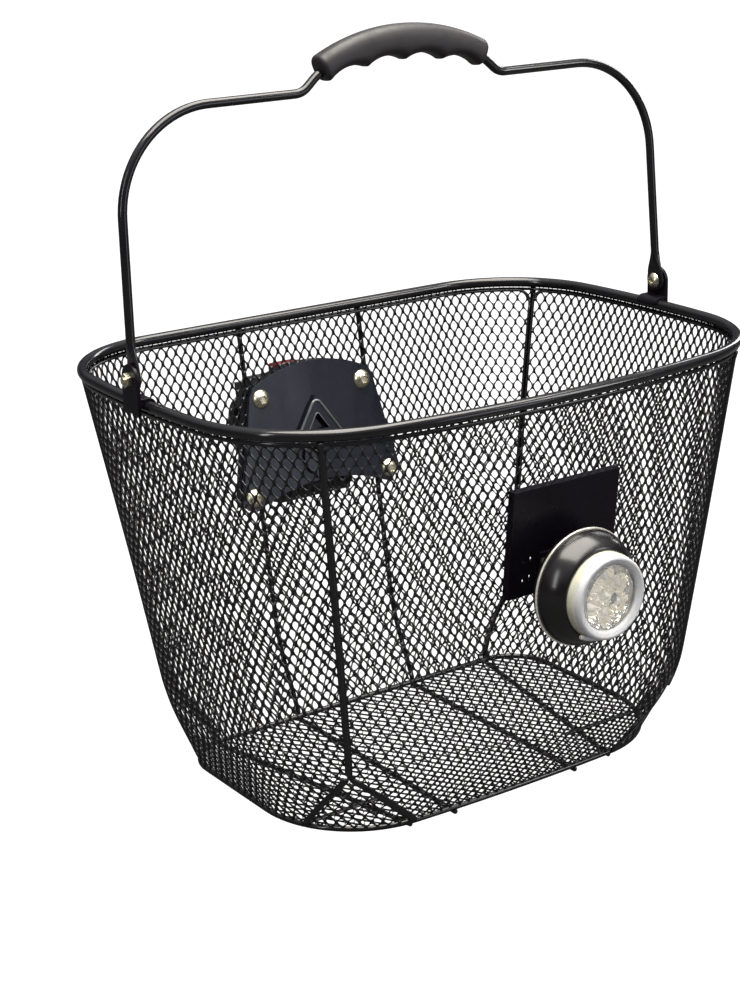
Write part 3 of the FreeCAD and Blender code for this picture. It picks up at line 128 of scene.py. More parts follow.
STEEL = material("bright_steel", (0.55, 0.55, 0.55), (0.75, 0.75, 0.74), (0.18, 0.32), metallic=1.0,
    tone_scale=400.0, rough_scale=900.0)
HOUSING = material("grained_black_plastic", (0.010, 0.010, 0.011), (0.020, 0.020, 0.021),
    (0.45, 0.6), bump=0.5, bump_scale=2400.0)
BUTTON = material("red_plastic", (0.085, 0.008, 0.008), (0.13, 0.013, 0.012), (0.28, 0.4), bump=0.1)
RUBBER = material("black_rubber", (0.012, 0.012, 0.012), (0.022, 0.022, 0.022), (0.65, 0.85),
    bump=0.4, bump_scale=1800.0)
BELL = material("gloss_black_lamp", (0.0045, 0.004, 0.0045), (0.009, 0.0075, 0.008), (0.16, 0.26),
    rough_scale=60.0, bump=0.05, bump_scale=300.0)
# Painted light: a faint emission makes the trim ring glow brighter, though it gives off no light of
# its own.
TRIM = material("pale_metal_trim_painted_glow", (0.50, 0.48, 0.42), (0.66, 0.64, 0.57), (0.2, 0.32),
    metallic=0.6, rough_scale=500.0, Emission_Color=(1.0, 0.97, 0.88, 1.0), Emission_Strength=0.12)
# Painted light: the reflector and the LEDs also carry a faint emission, a painted glow that
# brightens them.
CHROME = material("faceted_chrome_painted_glow", (0.78, 0.74, 0.66), (0.98, 0.97, 0.94), (0.08, 0.2),
    metallic=0.9, tone_scale=300.0, rough_scale=400.0, Emission_Color=(1.0, 0.96, 0.88, 1.0),
    Emission_Strength=0.12)
EPOXY = material("clear_epoxy_painted_glow", (0.84, 0.81, 0.73), (0.95, 0.94, 0.90), (0.04, 0.12),
    tone_scale=300.0, Transmission_Weight=0.05, IOR=1.5, Emission_Color=(1.0, 0.97, 0.9, 1.0),
    Emission_Strength=0.12)
LENS = material("clear_lens", (0.93, 0.93, 0.92), (0.99, 0.99, 0.99), (0.0, 0.03),
    Transmission_Weight=1.0, IOR=1.12)
BOARD = material("green_board", (0.02, 0.12, 0.05), (0.04, 0.19, 0.08), (0.35, 0.5))


def coordinate(tree, coordinates, axis):
    """One axis of the object's or the room's coordinates."""
    coords = tree.nodes.new("ShaderNodeTexCoord")
    split = tree.nodes.new("ShaderNodeSeparateXYZ")
    tree.links.new(coords.outputs[coordinates], split.inputs["Vector"])
    return split.outputs[axis]


def blended(tree, factor, first, second):
    """A colour that turns from a socket's into a fixed one as factor goes from 0 to 1."""
    mix = tree.nodes.new("ShaderNodeMix")
    mix.data_type = "RGBA"
    mix.inputs["B"].default_value = second
    tree.links.new(factor, mix.inputs["Factor"])
    tree.links.new(first, mix.inputs["A"])
    return mix.outputs["Result"]


def bezel_material():
    """Milky plastic: cream on its side and clean white on the front ring."""
    white_from, cream_from = -0.1682, -0.1670
    made = material("milky_plastic", (0.50, 0.50, 0.41), (0.60, 0.60, 0.50), (0.2, 0.32),
                    tone_scale=120.0, Subsurface_Weight=0.25,
                    Subsurface_Radius=(0.004, 0.004, 0.003))
    tree = made.node_tree
    shader = tree.nodes["Principled BSDF"]
    cream = shader.inputs["Base Color"].links[0].from_socket
    front = ramp(tree, coordinate(tree, "Object", "Y"), 1.0, 0.0, white_from, cream_from)
    tree.links.new(blended(tree, front, cream, (0.62, 0.63, 0.65, 1.0)),
                   shader.inputs["Base Color"])
    return made


BEZEL = bezel_material()

# ---------------- mesh building


def linked(name, data):
    made = bpy.data.objects.new(name, data)
    bpy.context.scene.collection.objects.link(made)
    return made


def build(name, points, faces, paint, body, nodes, flat=False):
    """One piece from point and face arrays. It rides on a body and stands for CAD nodes."""
    mesh = bpy.data.meshes.new(name)
    mesh.from_pydata([tuple(p) for p in np.asarray(points, float)], [], faces)
    mesh.validate()
    mesh.polygons.foreach_set("use_smooth", [not flat] * len(mesh.polygons))
    mesh.materials.append(paint)
    mesh.update()
    piece = linked(name, mesh)
    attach(piece, body)
    if nodes:
        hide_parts(*nodes)


def joined(parts):
    """Several (points, faces) pairs as one."""
    points, faces, base = [], [], 0
    for part_points, part_faces in parts:
        points.append(np.asarray(part_points, float))
        faces += [tuple(int(i) + base for i in face) for face in part_faces]
        base += len(part_points)
    return np.vstack(points), faces


def unit(vectors):
    vectors = np.asarray(vectors, float)
    return vectors / np.linalg.norm(vectors, axis=-1, keepdims=True)


def rounded(points, radii, step=4.0):
    """A path with its inner corners rounded; one radius for each inner corner."""
    points = [np.asarray(p, float) for p in points]
    path = [points[0]]
    for index, radius in enumerate(radii, start=1):
        before, corner, after = points[index - 1], points[index], points[index + 1]
        arrive, leave = unit(corner - before), unit(after - corner)
        turn = math.acos(max(-1.0, min(1.0, float(arrive @ leave))))
        if radius <= 0 or turn < 1e-3:
            path.append(corner)
            continue
        setback = radius * math.tan(turn / 2)
        centre = corner + unit(leave - arrive) * (radius / math.cos(turn / 2))
        start = corner - arrive * setback - centre
        count = max(3, int(math.degrees(turn) / step))
        side = unit(arrive)
        for part in range(count + 1):
            angle = turn * part / count
            path.append(centre + start * math.cos(angle) + side * radius * math.sin(angle))
    path.append(points[-1])
    return np.array(path)


def distances(path):
    """How far along a path each of its points lies."""
    return np.concatenate([[0.0], np.cumsum(np.linalg.norm(np.diff(path, axis=0), axis=1))])


def resampled(path, spacing):
    """The same path with a point about every spacing along its long runs."""
    out = [path[0]]
    for start, end in zip(path, path[1:]):
        count = max(1, int(np.linalg.norm(end - start) / spacing))
        out += [start + (end - start) * (k + 1) / count for k in range(count)]
    return np.array(out)


def around(count):
    """Angles of a number of points spread evenly round a circle."""
    return np.arange(count) * 2 * math.pi / count


def signed_power(value, power):
    """The size raised to a power with the sign kept."""
    return np.sign(value) * np.abs(value) ** power


def round_profile(radius, count):
    turns = around(count)
    return np.column_stack([np.cos(turns), np.sin(turns)]) * radius


def oval_profile(wide, high, power, count):
    turns = around(count)
    return np.column_stack([signed_power(np.cos(turns), 2 / power) * wide,
                            signed_power(np.sin(turns), 2 / power) * high])


def tube_faces(rings, count, closed):
    """Faces between rings of points; an open tube gets a face at each end."""
    faces = []
    spans = rings if closed else rings - 1
    for ring in range(spans):
        here, there = ring * count, ((ring + 1) % rings) * count
        for k in range(count):
            n = (k + 1) % count
            faces.append((here + k, here + n, there + n, there + k))
    if not closed:
        faces.append(tuple(reversed(range(count))))
        faces.append(tuple(range((rings - 1) * count, rings * count)))
    return faces


def sweep(path, profiles, sides, ups, closed=False):
    """Profiles carried along a path; sides and ups are the two axes of each section."""
    path, sides, ups = (np.asarray(a, float) for a in (path, sides, ups))
    profiles = np.asarray(profiles, float)
    if profiles.ndim == 2:
        profiles = np.repeat(profiles[None], len(path), 0)
    points = (path[:, None] + profiles[:, :, :1] * sides[:, None]
              + profiles[:, :, 1:] * ups[:, None])
    count = profiles.shape[1]
    return points.reshape(-1, 3), tube_faces(len(path), count, closed)


def carried_axes(path, start_side):
    """Axes along an open path that turn no more than the path does."""
    tangents = unit(np.gradient(path, axis=0))
    side = np.asarray(start_side, float)
    sides = []
    for tangent in tangents:
        side = side - tangent * float(side @ tangent)
        side = unit(side)
        sides.append(side)
    sides = np.array(sides)
    return sides, np.cross(tangents, sides)


# Rings on a wire's rounded end, as shares of its length, and that length over the radius.
END_STEPS, END_LENGTH = np.array([0.45, 0.8, 0.98]), 0.6


def wire(path, radius, start_side, count=14, flare=None):
    """A round wire with softly rounded ends; flare = (extra radius, length) at its start."""
    path = np.asarray(path, float)
    radii = np.full(len(path), radius)
    if flare:
        radii = radii + flare[0] * np.exp(-(distances(path) / flare[1]) ** 2)
    ends = []
    for end, ahead, steps in ((0, 1, END_STEPS[::-1]), (-1, -2, END_STEPS)):
        back = unit(path[end] - path[ahead])
        ends.append((path[end] + back * radii[end] * END_LENGTH * steps[:, None],
                     radii[end] * np.sqrt(1 - steps ** 2)))
    path = np.vstack([ends[0][0], path, ends[1][0]])
    radii = np.concatenate([ends[0][1], radii, ends[1][1]])
    sides, ups = carried_axes(path, start_side)
    profile = round_profile(1.0, count)
    return sweep(path, profile[None] * radii[:, None, None], sides, ups)


def lathe(profile, centre, segments):
    """A closed outline of (radius, y) turned round an axis along Y through centre = (x, z)."""
    profile = np.asarray(profile, float)
    turns = around(segments)
    points = np.empty((len(profile), segments, 3))
    points[:, :, 0] = centre[0] + profile[:, :1] * np.cos(turns)
    points[:, :, 1] = profile[:, 1:]
    points[:, :, 2] = centre[1] + profile[:, :1] * np.sin(turns)
    return points.reshape(-1, 3), tube_faces(len(profile), segments, True)


def outward(points, faces):
    """The same mesh with every face turned outwards and coincident points merged."""
    made = bmesh.new()
    verts = [made.verts.new(p) for p in points]
    for face in faces:
        try:
            made.faces.new([verts[i] for i in face])
        except ValueError:
            pass
    bmesh.ops.remove_doubles(made, verts=made.verts, dist=1e-7)
    bmesh.ops.recalc_face_normals(made, faces=made.faces)
    made.verts.index_update()
    out = [tuple(v.co) for v in made.verts]
    out_faces = [tuple(v.index for v in f.verts) for f in made.faces]
    made.free()
    return np.array(out), out_faces


# ---------------- basket surface
# Plan sections in millimetres, as the frame was designed: half width, front and back
# distance, front and back corner radius, front and side bulge.

RIM_Z, BEND_Z, RING_Z = 242.75, 45.75, 4.55
RIM = np.array([167.0, 113.9, 117.2, 80.0, 68.3, 20.5, 10.3])
BEND = np.array([141.5, 107.7, 85.8, 76.8, 48.4, 6.8, 3.7])
RING = np.array([128.0, 86.4, 65.2, 61.0, 28.8, 5.8, 0.3])
KNEE = 16.0  # how far above and below the bend the wall's slope eases
TUBE, WIRE, HALF_SHEET = 3.1, 1.5, 0.6
PANEL_TOP, PANEL_FOOT = RIM_Z - 2.4, RING_Z + 0.5
# Where each panel ends round a corner, 0 at the side and 1 at the front or back, at the ring,
# the bend and the rim.
FRONT_SEAM = (1.0, 0.58, 0.68)
SIDE_SEAM = (0.31, 0.58, 0.68)
BACK_SEAM = (0.95, 0.51, 0.38)


def between_levels(z, ring, bend, rim):
    """A dimension at height z: straight above and below the bend, eased round it."""
    low = (bend - ring) / (BEND_Z - RING_Z)
    high = (rim - bend) / (RIM_Z - BEND_Z)
    t = z - BEND_Z
    if t <= -KNEE:
        soft = t
    elif t >= KNEE:
        soft = 0.0
    else:
        soft = -((KNEE - t) ** 2) / (4 * KNEE)
    return bend + high * t + (low - high) * soft


def plan(z):
    """Centres and radii of the front, side and corner arcs at height z, for the left half."""
    half, front, back, rf, rb, fb, sb = between_levels(z, RING, BEND, RIM)
    half_depth, centre_y = (front + back) / 2, (back - front) / 2
    fr = (half ** 2 + fb ** 2) / (2 * fb)
    sr = (half_depth ** 2 + sb ** 2) / (2 * sb)
    fc = np.array([0.0, fr - front - fb])
    sc = np.array([sr - half - sb, centre_y])
    r1, r2 = fr - rf, sr - rf
    apart = sc - fc
    d = np.linalg.norm(apart)
    along = (r1 ** 2 - r2 ** 2 + d ** 2) / (2 * d)
    off = math.sqrt(max(r1 ** 2 - along ** 2, 0.0))
    across = np.array([-apart[1], apart[0]]) / d
    options = [fc + apart / d * along + across * off * s for s in (-1, 1)]
    front_corner = min(options, key=lambda p: p[1])
    by = back - rb
    back_corner = np.array([sc[0] - math.sqrt((sr - rb) ** 2 - (by - centre_y) ** 2), by])
    return {"fc": fc, "fr": fr, "sc": sc, "sr": sr, "front": (front_corner, rf),
            "back": (back_corner, rb), "back_y": back}


def heading(vector):
    return math.atan2(vector[1], vector[0]) % (2 * math.pi)


def corner_angles(p, row):
    """Where a corner's arc starts, at the side, and where it ends, at the front or back."""
    centre = p[row][0]
    end = heading(centre - p["fc"]) if row == "front" else math.pi / 2
    return heading(centre - p["sc"]), end


def arc(centre, radius, start, end, count):
    turns = np.linspace(start, end, count)
    return centre + radius * np.column_stack([np.cos(turns), np.sin(turns)])


def corner_arc(p, row, begin, finish, count=28):
    """Part of a corner's arc, from one share of it to another."""
    start, end = corner_angles(p, row)
    span = end - start
    return arc(p[row][0], p[row][1], start + span * begin, start + span * finish, count)


def flipped(points):
    """The same stretch on the right half, run the other way."""
    return (points * np.array([-1.0, 1.0]))[::-1]


def at_height(points, z):
    """Plan points as points at height z."""
    return np.column_stack([points, np.full(len(points), z)])


def upward(count):
    return np.tile([0.0, 0.0, 1.0], (count, 1))


def chained(*runs):
    """Runs joined end to end, each starting where the last one ended."""
    return np.vstack([runs[0]] + [run[1:] for run in runs[1:]])


def fraction(z, ring, bend, rim):
    """Where a seam crosses a corner at height z, 0 at the side and 1 at the front or back."""
    if z >= BEND_Z:
        return bend + (rim - bend) * (z - BEND_Z) / (RIM_Z - BEND_Z)
    return ring + (bend - ring) * (z - RING_Z) / (BEND_Z - RING_Z)


def front_line(p):
    start = corner_angles(p, "front")[1]
    return arc(p["fc"], p["fr"], start, 3 * math.pi - start, 60)


def side_line(p):
    back_start = corner_angles(p, "back")[0]
    front_start = corner_angles(p, "front")[0]
    return arc(p["sc"], p["sr"], back_start, front_start, 50)


def back_line(p):
    x = p["back"][0][0]
    xs = np.linspace(x, -x, 50)
    return np.column_stack([xs, np.full(50, p["back_y"])])


def stretch(panel, z):
    """A panel's line at height z, from one seam to the other."""
    p = plan(z)
    front_in, side_in, back_in = (fraction(z, *seam) for seam in (FRONT_SEAM, SIDE_SEAM, BACK_SEAM))
    if panel in ("front", "back"):
        begin, middle = (front_in, front_line) if panel == "front" else (back_in, back_line)
        corner = corner_arc(p, panel, begin, 1.0)
        return chained(corner, middle(p), flipped(corner))
    if panel in ("left", "right"):
        run = chained(corner_arc(p, "back", back_in, 0.0), side_line(p),
                      corner_arc(p, "front", 0.0, side_in))
        return run if panel == "left" else flipped(run)
    run = corner_arc(p, "front", side_in, front_in, 40)
    return run if panel == "gusset_left" else flipped(run)


class Panel:
    """One mesh panel's surface: u along the basket, v down the wall, h out of it, in mm."""

    def __init__(self, name, top, bottom):
        self.name, self.cache = name, {}
        self.heights = np.arange(top, bottom - 0.01, -1.0)
        self.downs = distances(np.array([self.spot([0.0], z)[0][0] for z in self.heights]))
        self.length = float(self.downs[-1])

    def line(self, z):
        key = round(float(z), 5)
        if key not in self.cache:
            line = stretch(self.name, key)
            run = distances(line)
            if self.name in ("left", "right"):
                middle = plan(key)["sc"][1]
                order = np.argsort(line[:, 1])
                start = float(np.interp(middle, line[order, 1], run[order]))
            else:
                start = run[-1] / 2
            self.cache[key] = (line, run - start, unit(np.gradient(line, run, axis=0)))
        return self.cache[key]

    def height(self, v):
        return float(np.interp(v, self.downs, self.heights))

    def down(self, z):
        return float(np.interp(-z, -self.heights, self.downs))

    def limits(self, v):
        at = self.line(self.height(v))[1]
        return float(at[0]), float(at[-1])

    def spot(self, u, z):
        """Points at height z and the directions of the panel's line there."""
        line, at, along = self.line(z)
        return [at_height(np.column_stack([np.interp(u, at, track[:, k]) for k in (0, 1)]), level)
                for track, level in ((line, z), (along, 0.0))]

    def place(self, u, v, h):
        """Points and outward normals, in mm."""
        u, v, h = np.broadcast_arrays(*(np.atleast_1d(np.asarray(a, float)) for a in (u, v, h)))
        keys, where = np.unique(np.round(v, 4), return_inverse=True)
        order = np.argsort(where, kind="stable")
        edges = np.searchsorted(where[order], np.arange(len(keys) + 1))
        points, normals = np.empty((len(u), 3)), np.empty((len(u), 3))
        for k, key in enumerate(keys):
            rows = order[edges[k]:edges[k + 1]]
            z = self.height(key)
            here, along = self.spot(u[rows], z)
            lower, _ = self.spot(u[rows], max(z - 0.6, self.heights[-1] - 0.6))
            normal = unit(np.cross(along, lower - here + np.array([0, 0, -1e-6])))
            sign = np.sign(np.sum(normal[:, :2] * here[:, :2], axis=1))
            points[rows], normals[rows] = here, normal * sign[:, None]
        return points + normals * h[:, None], normals


# ---------------- lattice

PITCH_ACROSS, PITCH_DOWN = 6.35, 10.3
HOLE_ACROSS, HOLE_DOWN, HOLE_POWER = 2.55, 3.4, 1.5
# Half thickness between holes and at their edges, and how far a hole's two sides tilt apart.
RIDGE, EDGE, LOUVRE = 0.6, 0.3, 0.28
CELL = 12


def cell_rings(opening):
    """Points on a cell's rhombus and as many round its hole, from its middle."""
    a, b = PITCH_ACROSS / 2, PITCH_DOWN / 2
    corners = [(a, 0), (0, b), (-a, 0), (0, -b)]
    side = CELL // 4
    outer = []
    for k in range(CELL):
        start, end = corners[k // side], corners[(k // side + 1) % 4]
        part = (k % side) / side
        outer.append((start[0] + (end[0] - start[0]) * part,
                      start[1] + (end[1] - start[1]) * part))
    hole = oval_profile(HOLE_ACROSS * opening, HOLE_DOWN * opening, HOLE_POWER, CELL)
    return np.array(outer), hole


def lattice(place, clip, centres, opening=1.0):
    """Expanded metal: raised strands round an opening in every cell.

    place puts (u, v, h) points on a surface and clip keeps (u, v) points within its edges.
    """
    outer, inner = cell_rings(opening)
    rim = (centres[:, None] + outer[None]).reshape(-1, 2)
    hole = (centres[:, None] + inner[None]).reshape(-1, 2)
    rim, hole = clip(rim), clip(hole)
    keys, where = np.unique(np.round(rim * 500).astype(int), axis=0, return_inverse=True)
    where = where.reshape(-1)
    first = np.zeros(len(keys), int)
    first[where[::-1]] = np.arange(len(where))[::-1]
    rim = rim[first]
    tilt = np.tile(inner[:, 0] / HOLE_ACROSS * LOUVRE, len(centres))
    levels = [(rim, RIDGE), (rim, -RIDGE), (hole, EDGE + tilt), (hole, -EDGE + tilt)]
    points = np.vstack([place(spots[:, 0], spots[:, 1], level)[0] for spots, level in levels])
    shared, cells = len(rim), len(centres)
    edge = where.reshape(cells, CELL)
    bore = np.arange(cells * CELL).reshape(cells, CELL)
    turn = np.roll(np.arange(CELL), -1)
    rings = [edge, 2 * shared + bore, 2 * shared + cells * CELL + bore, shared + edge]
    quads = []
    for a, b in zip(rings, rings[1:]):
        quads.append(np.stack([a, a[:, turn], b[:, turn], b], axis=2).reshape(-1, 4))
    quads = np.vstack(quads)
    spans = np.cross(points[quads[:, 2]] - points[quads[:, 0]],
                     points[quads[:, 3]] - points[quads[:, 1]])
    least_span = 4e-3
    quads = quads[np.linalg.norm(spans, axis=1) > least_span]
    faces = []
    for quad in quads.tolist():
        face = [i for k, i in enumerate(quad) if i != quad[k - 1]]
        if len(face) > 2:
            faces.append(tuple(face))
    return points * MM, faces


def panel_lattice(panel, top_gap):
    """The mesh of one wall panel; its first row of holes is top_gap below its top edge."""
    rows = np.arange(-1, int(panel.length / PITCH_DOWN * 2) + 2)
    centres = []
    for row in rows:
        v = top_gap + row * PITCH_DOWN / 2
        if v < -0.2 or v > panel.length + 1:
            continue
        low, high = panel.limits(v)
        shift = 0.5 * (row % 2)
        first = math.floor(low / PITCH_ACROSS - shift) - 1
        last = math.ceil(high / PITCH_ACROSS - shift) + 1
        for k in range(first, last + 1):
            u = (k + shift) * PITCH_ACROSS
            if low - 0.4 < u < high + 0.4:
                centres.append((u, v))

    def clip(points):
        out = points.copy()
        out[:, 1] = np.clip(out[:, 1], 0.0, panel.length)
        keys, where = np.unique(np.round(out[:, 1], 4), return_inverse=True)
        bounds = np.array([panel.limits(k) for k in keys])[where.reshape(-1)]
        out[:, 0] = np.clip(out[:, 0], bounds[:, 0], bounds[:, 1])
        return out

    return lattice(panel.place, clip, np.array(centres))


SEAM_INSET, SEAM_TOP, SEAM_CORNER = 1.2, 3.0, 6.0


def bead(place, path, wide, high, power=2.4, count=10, lift=0.0):
    """A rounded strip lying along a (u, v) path on a surface."""
    path = resampled(np.asarray(path, float), 4.0)
    spots, normals = place(path[:, 0], path[:, 1], lift)
    tangents = unit(np.gradient(spots, axis=0))
    sides = unit(np.cross(tangents, normals))
    points, faces = sweep(spots, oval_profile(wide, high, power, count), sides, normals)
    return points * MM, faces


PANELS = {name: Panel(name, PANEL_TOP, PANEL_FOOT) for name in ("front", "back", "left", "right")}
GUSSETS = {side: Panel("gusset_" + side, BEND_Z - 1.0, PANEL_FOOT) for side in ("left", "right")}


def make_panels():
    """The four walls, each with a bead down one seam, along its top and down the other seam."""
    for name, panel in PANELS.items():
        parts = [panel_lattice(panel, 2.6)]
        foot = panel.length - 3 if name == "back" else panel.down(BEND_Z - 1)
        left, right = [], []
        for v in np.arange(SEAM_TOP + 7, foot, 6.0):
            low, high = panel.limits(v)
            left.append((low + SEAM_INSET, v))
            right.append((high - SEAM_INSET, v))
        low, high = panel.limits(SEAM_TOP)
        top = [(low + SEAM_INSET, SEAM_TOP), (high - SEAM_INSET, SEAM_TOP)]
        path = left[::-1] + top + right
        radii = [0.0] * (len(path) - 2)
        radii[len(left) - 1], radii[len(left)] = SEAM_CORNER, SEAM_CORNER
        parts.append(bead(panel.place, rounded(path, radii, 15.0), 0.85, 0.95))
        points, faces = joined(parts)
        build(name + "_mesh_panel", points, faces, MESH, "basket", [name + "_mesh"])


def make_gussets():
    """Small corner triangles of mesh with a folded strip along each sloping edge."""
    strip_half, strip_high, square, count, lift = 1.7, 0.8, 5.0, 16, 0.55
    for side, panel in GUSSETS.items():
        lows, highs = [], []
        for v in np.linspace(1.0, panel.length, 24):
            low, high = panel.limits(v)
            lows.append((low, v))
            highs.append((high, v))
        parts = [panel_lattice(panel, 3.0)]
        for edge in (lows, highs):
            parts.append(bead(panel.place, edge, strip_half, strip_high, square, count, lift))
        points, faces = joined(parts)
        build("front_gusset_%s_mesh" % side, points, faces, MESH, "basket",
              ["front_gusset_" + side])


def closed_line(z, inset=0.0):
    """The whole plan outline at height z, and its outward directions."""
    p = plan(z)
    runs = [corner_arc(p, "back", 1.0, 0.0), side_line(p), corner_arc(p, "front", 0.0, 1.0)]
    left = chained(*runs)
    line = chained(left, front_line(p), flipped(left), back_line(p)[::-1])[:-1]
    ahead, behind = np.roll(line, -1, 0), np.roll(line, 1, 0)
    along = unit(ahead - behind)
    out = np.column_stack([-along[:, 1], along[:, 0]])
    out *= np.sign(np.sum(out * line, axis=1))[:, None]
    return line - out * inset, out


def level_loop(z, inset, profile):
    """A profile carried round the whole plan outline at height z."""
    line, out = closed_line(z, inset)
    return sweep(at_height(line, z), profile, at_height(out, 0.0), upward(len(line)), True)


FLOOR_Z, FLOOR_INSET, FLOOR_OPENING = 3.6, 0.8, 1.1
FLOOR_ROWS, FLOOR_COLUMNS = 19, 21
HEM_DROP, HEM_OUT = 4.5, 0.9


def make_floor():
    """The floor's mesh with a folded strip across each front corner."""
    edge, _ = closed_line(RING_Z, FLOOR_INSET)
    dense = resampled(np.vstack([edge, edge[:1]]), 0.5)
    turns = np.arctan2(dense[:, 1], dense[:, 0])
    order = np.argsort(turns)
    reach = np.linalg.norm(dense, axis=1)[order]
    turns = turns[order]

    def share(points):
        size = np.linalg.norm(points, axis=1)
        limit = np.interp(np.arctan2(points[:, 1], points[:, 0]), turns, reach,
                          period=2 * math.pi)
        return size / limit

    def clip(points):
        over = np.maximum(share(points), 1.0)
        return points / over[:, None]

    def place(u, v, h):
        spots = np.column_stack([u, v, FLOOR_Z + h + 0 * u])
        return spots, upward(len(u))

    centres = []
    for row in range(-FLOOR_ROWS, FLOOR_ROWS + 1):
        for k in range(-FLOOR_COLUMNS, FLOOR_COLUMNS + 1):
            u, v = (k + 0.5 * (row % 2)) * PITCH_ACROSS, row * PITCH_DOWN / 2
            centres.append((u, v))
    centres = np.array(centres)
    centres = centres[share(centres) < 1.005]
    parts = [lattice(place, clip, centres, FLOOR_OPENING)]
    foot = corner_arc(plan(RING_Z), "front", SIDE_SEAM[0], SIDE_SEAM[0], 2)[0]
    strip_start, strip_end, strip_back, strip_rise = 3.0, 56.0, 0.8, 1.0
    for side in (-1, 1):
        start = np.array([abs(foot[0]) * side, foot[1]])
        path = resampled(np.array([start + [-side * strip_start, strip_back],
                                   start + [-side * strip_end, strip_back]]), 3.0)
        points, faces = sweep(at_height(path, FLOOR_Z + strip_rise),
                              oval_profile(1.7, 0.6, 5.0, 16),
                              np.tile([0.0, 1.0, 0.0], (len(path), 1)), upward(len(path)))
        parts.append((points * MM, faces))
    points, faces = joined(parts)
    build("floor_mesh_panel", points, faces, MESH, "basket", ["floor_mesh"])


def make_rings():
    """The rim tube with the mesh's rolled hem just below it, and the base ring."""
    tube = level_loop(RIM_Z, 0.0, round_profile(TUBE, 28))
    hem = level_loop(RIM_Z - HEM_DROP, -HEM_OUT, oval_profile(0.75, 0.9, 2.4, 16))
    points, faces = joined([tube, hem])
    build("rim_tube_rolled", points * MM, faces, ENAMEL, "basket", ["rim_tube"])
    points, faces = level_loop(RING_Z, 0.0, round_profile(WIRE, 18))
    build("base_ring_wire", points * MM, faces, ENAMEL, "basket", ["base_ring"])


def wall_run(panel, u_of, top, bottom, off):
    """Points outside a panel from one height to another."""
    spots = []
    for z in np.linspace(top, bottom, 48):
        v = panel.down(min(z, PANEL_TOP))
        spots.append(panel.place(u_of(v), v, off)[0][0])
    return np.array(spots)


# How far from the middle the back and corner wires lie under the floor, and how far behind
# the ring's front they end.
BACK_WIRE_X, BACK_WIRE_END = 43.5, 0.9
CORNER_WIRE_X, CORNER_WIRE_END = 72.0, 4.2
WIRE_FOOT, RING_GAP = 12.0, 0.6
ENTRY_BEND, RING_BEND = 6.0, 2.9
WELD_FLARE = (0.6, 2.5)


def under_floor(spots, ring_point, front_point):
    """Carries a wall wire round the base ring and forward under the floor."""
    ring_point, front_point = np.asarray(ring_point), np.asarray(front_point)
    away = unit(ring_point - front_point)
    outside = ring_point + away * (2 * WIRE + RING_GAP)
    turns = [(*outside, RING_Z + WIRE), (*outside, WIRE), (*front_point, WIRE)]
    points = [p for p in spots if p[2] > RING_Z + 10] + turns
    radii = [0.0] * (len(points) - 2)
    radii[-1], radii[-2] = RING_BEND, ENTRY_BEND
    return resampled(rounded(points, radii, 10.0), 5.0)


def on_side(spots, side):
    """Points of one half of the basket, mirrored if need be to lie on side = -1 or 1."""
    return spots * np.array([side * np.sign(spots[0][0]), 1.0, 1.0])


def frame_wire(node, finish, path):
    points, faces = wire(path, WIRE, (1, 0, 0), flare=WELD_FLARE)
    build(node + finish, points * MM, faces, ENAMEL, "basket", [node])


def make_frame_wires():
    """Two back wires, two rear corner wires and two front corner wires."""
    top = RIM_Z - TUBE - 0.6
    ring = plan(RING_Z)
    front_y = ring["fc"][1] - ring["fr"]
    back, front = PANELS["back"], PANELS["front"]
    for name, side in (("left", -1), ("right", 1)):
        spots = wall_run(back, lambda v: side * BACK_WIRE_X, top, WIRE_FOOT, HALF_SHEET + WIRE)
        frame_wire("back_wire_" + name, "_bent",
                   under_floor(on_side(spots, side), (side * BACK_WIRE_X, ring["back_y"]),
                               (side * BACK_WIRE_X, front_y + BACK_WIRE_END)))
        spots = wall_run(back, lambda v: back.limits(v)[0], top, WIRE_FOOT,
                         HALF_SHEET + WIRE + 0.3)
        foot = corner_arc(ring, "back", BACK_SEAM[0], BACK_SEAM[0], 2)[0] * np.array([-side, 1.0])
        frame_wire("rear_corner_wire_" + name, "_bent",
                   under_floor(on_side(spots, side), foot,
                               (side * CORNER_WIRE_X, front_y + CORNER_WIRE_END)))
        spots = wall_run(front, lambda v: front.limits(v)[0], top, BEND_Z - 6.0, 1.0)
        frame_wire("front_corner_wire_" + name, "_round", on_side(spots, side))


# ---------------- carry handle

PIVOT = np.array([0.0, -4.2, 256.5])
LEAN_BACK = math.radians(3.4)
HANDLE_WIRE = 2.5
EYE_RADIUS, EYE_HALF_THICK, NECK_HALF = 7.0, 1.0, 6.3


def leaned(vectors):
    """Vectors of the upright handle, turned back to where it rests."""
    c, s = math.cos(LEAN_BACK), math.sin(LEAN_BACK)
    return np.asarray(vectors, float) @ np.array([[1, 0, 0], [0, c, -s], [0, s, c]])


def ease(t):
    """A smooth step from 0 to 1."""
    t = np.clip(t, 0.0, 1.0)
    return t * t * (3 - 2 * t)


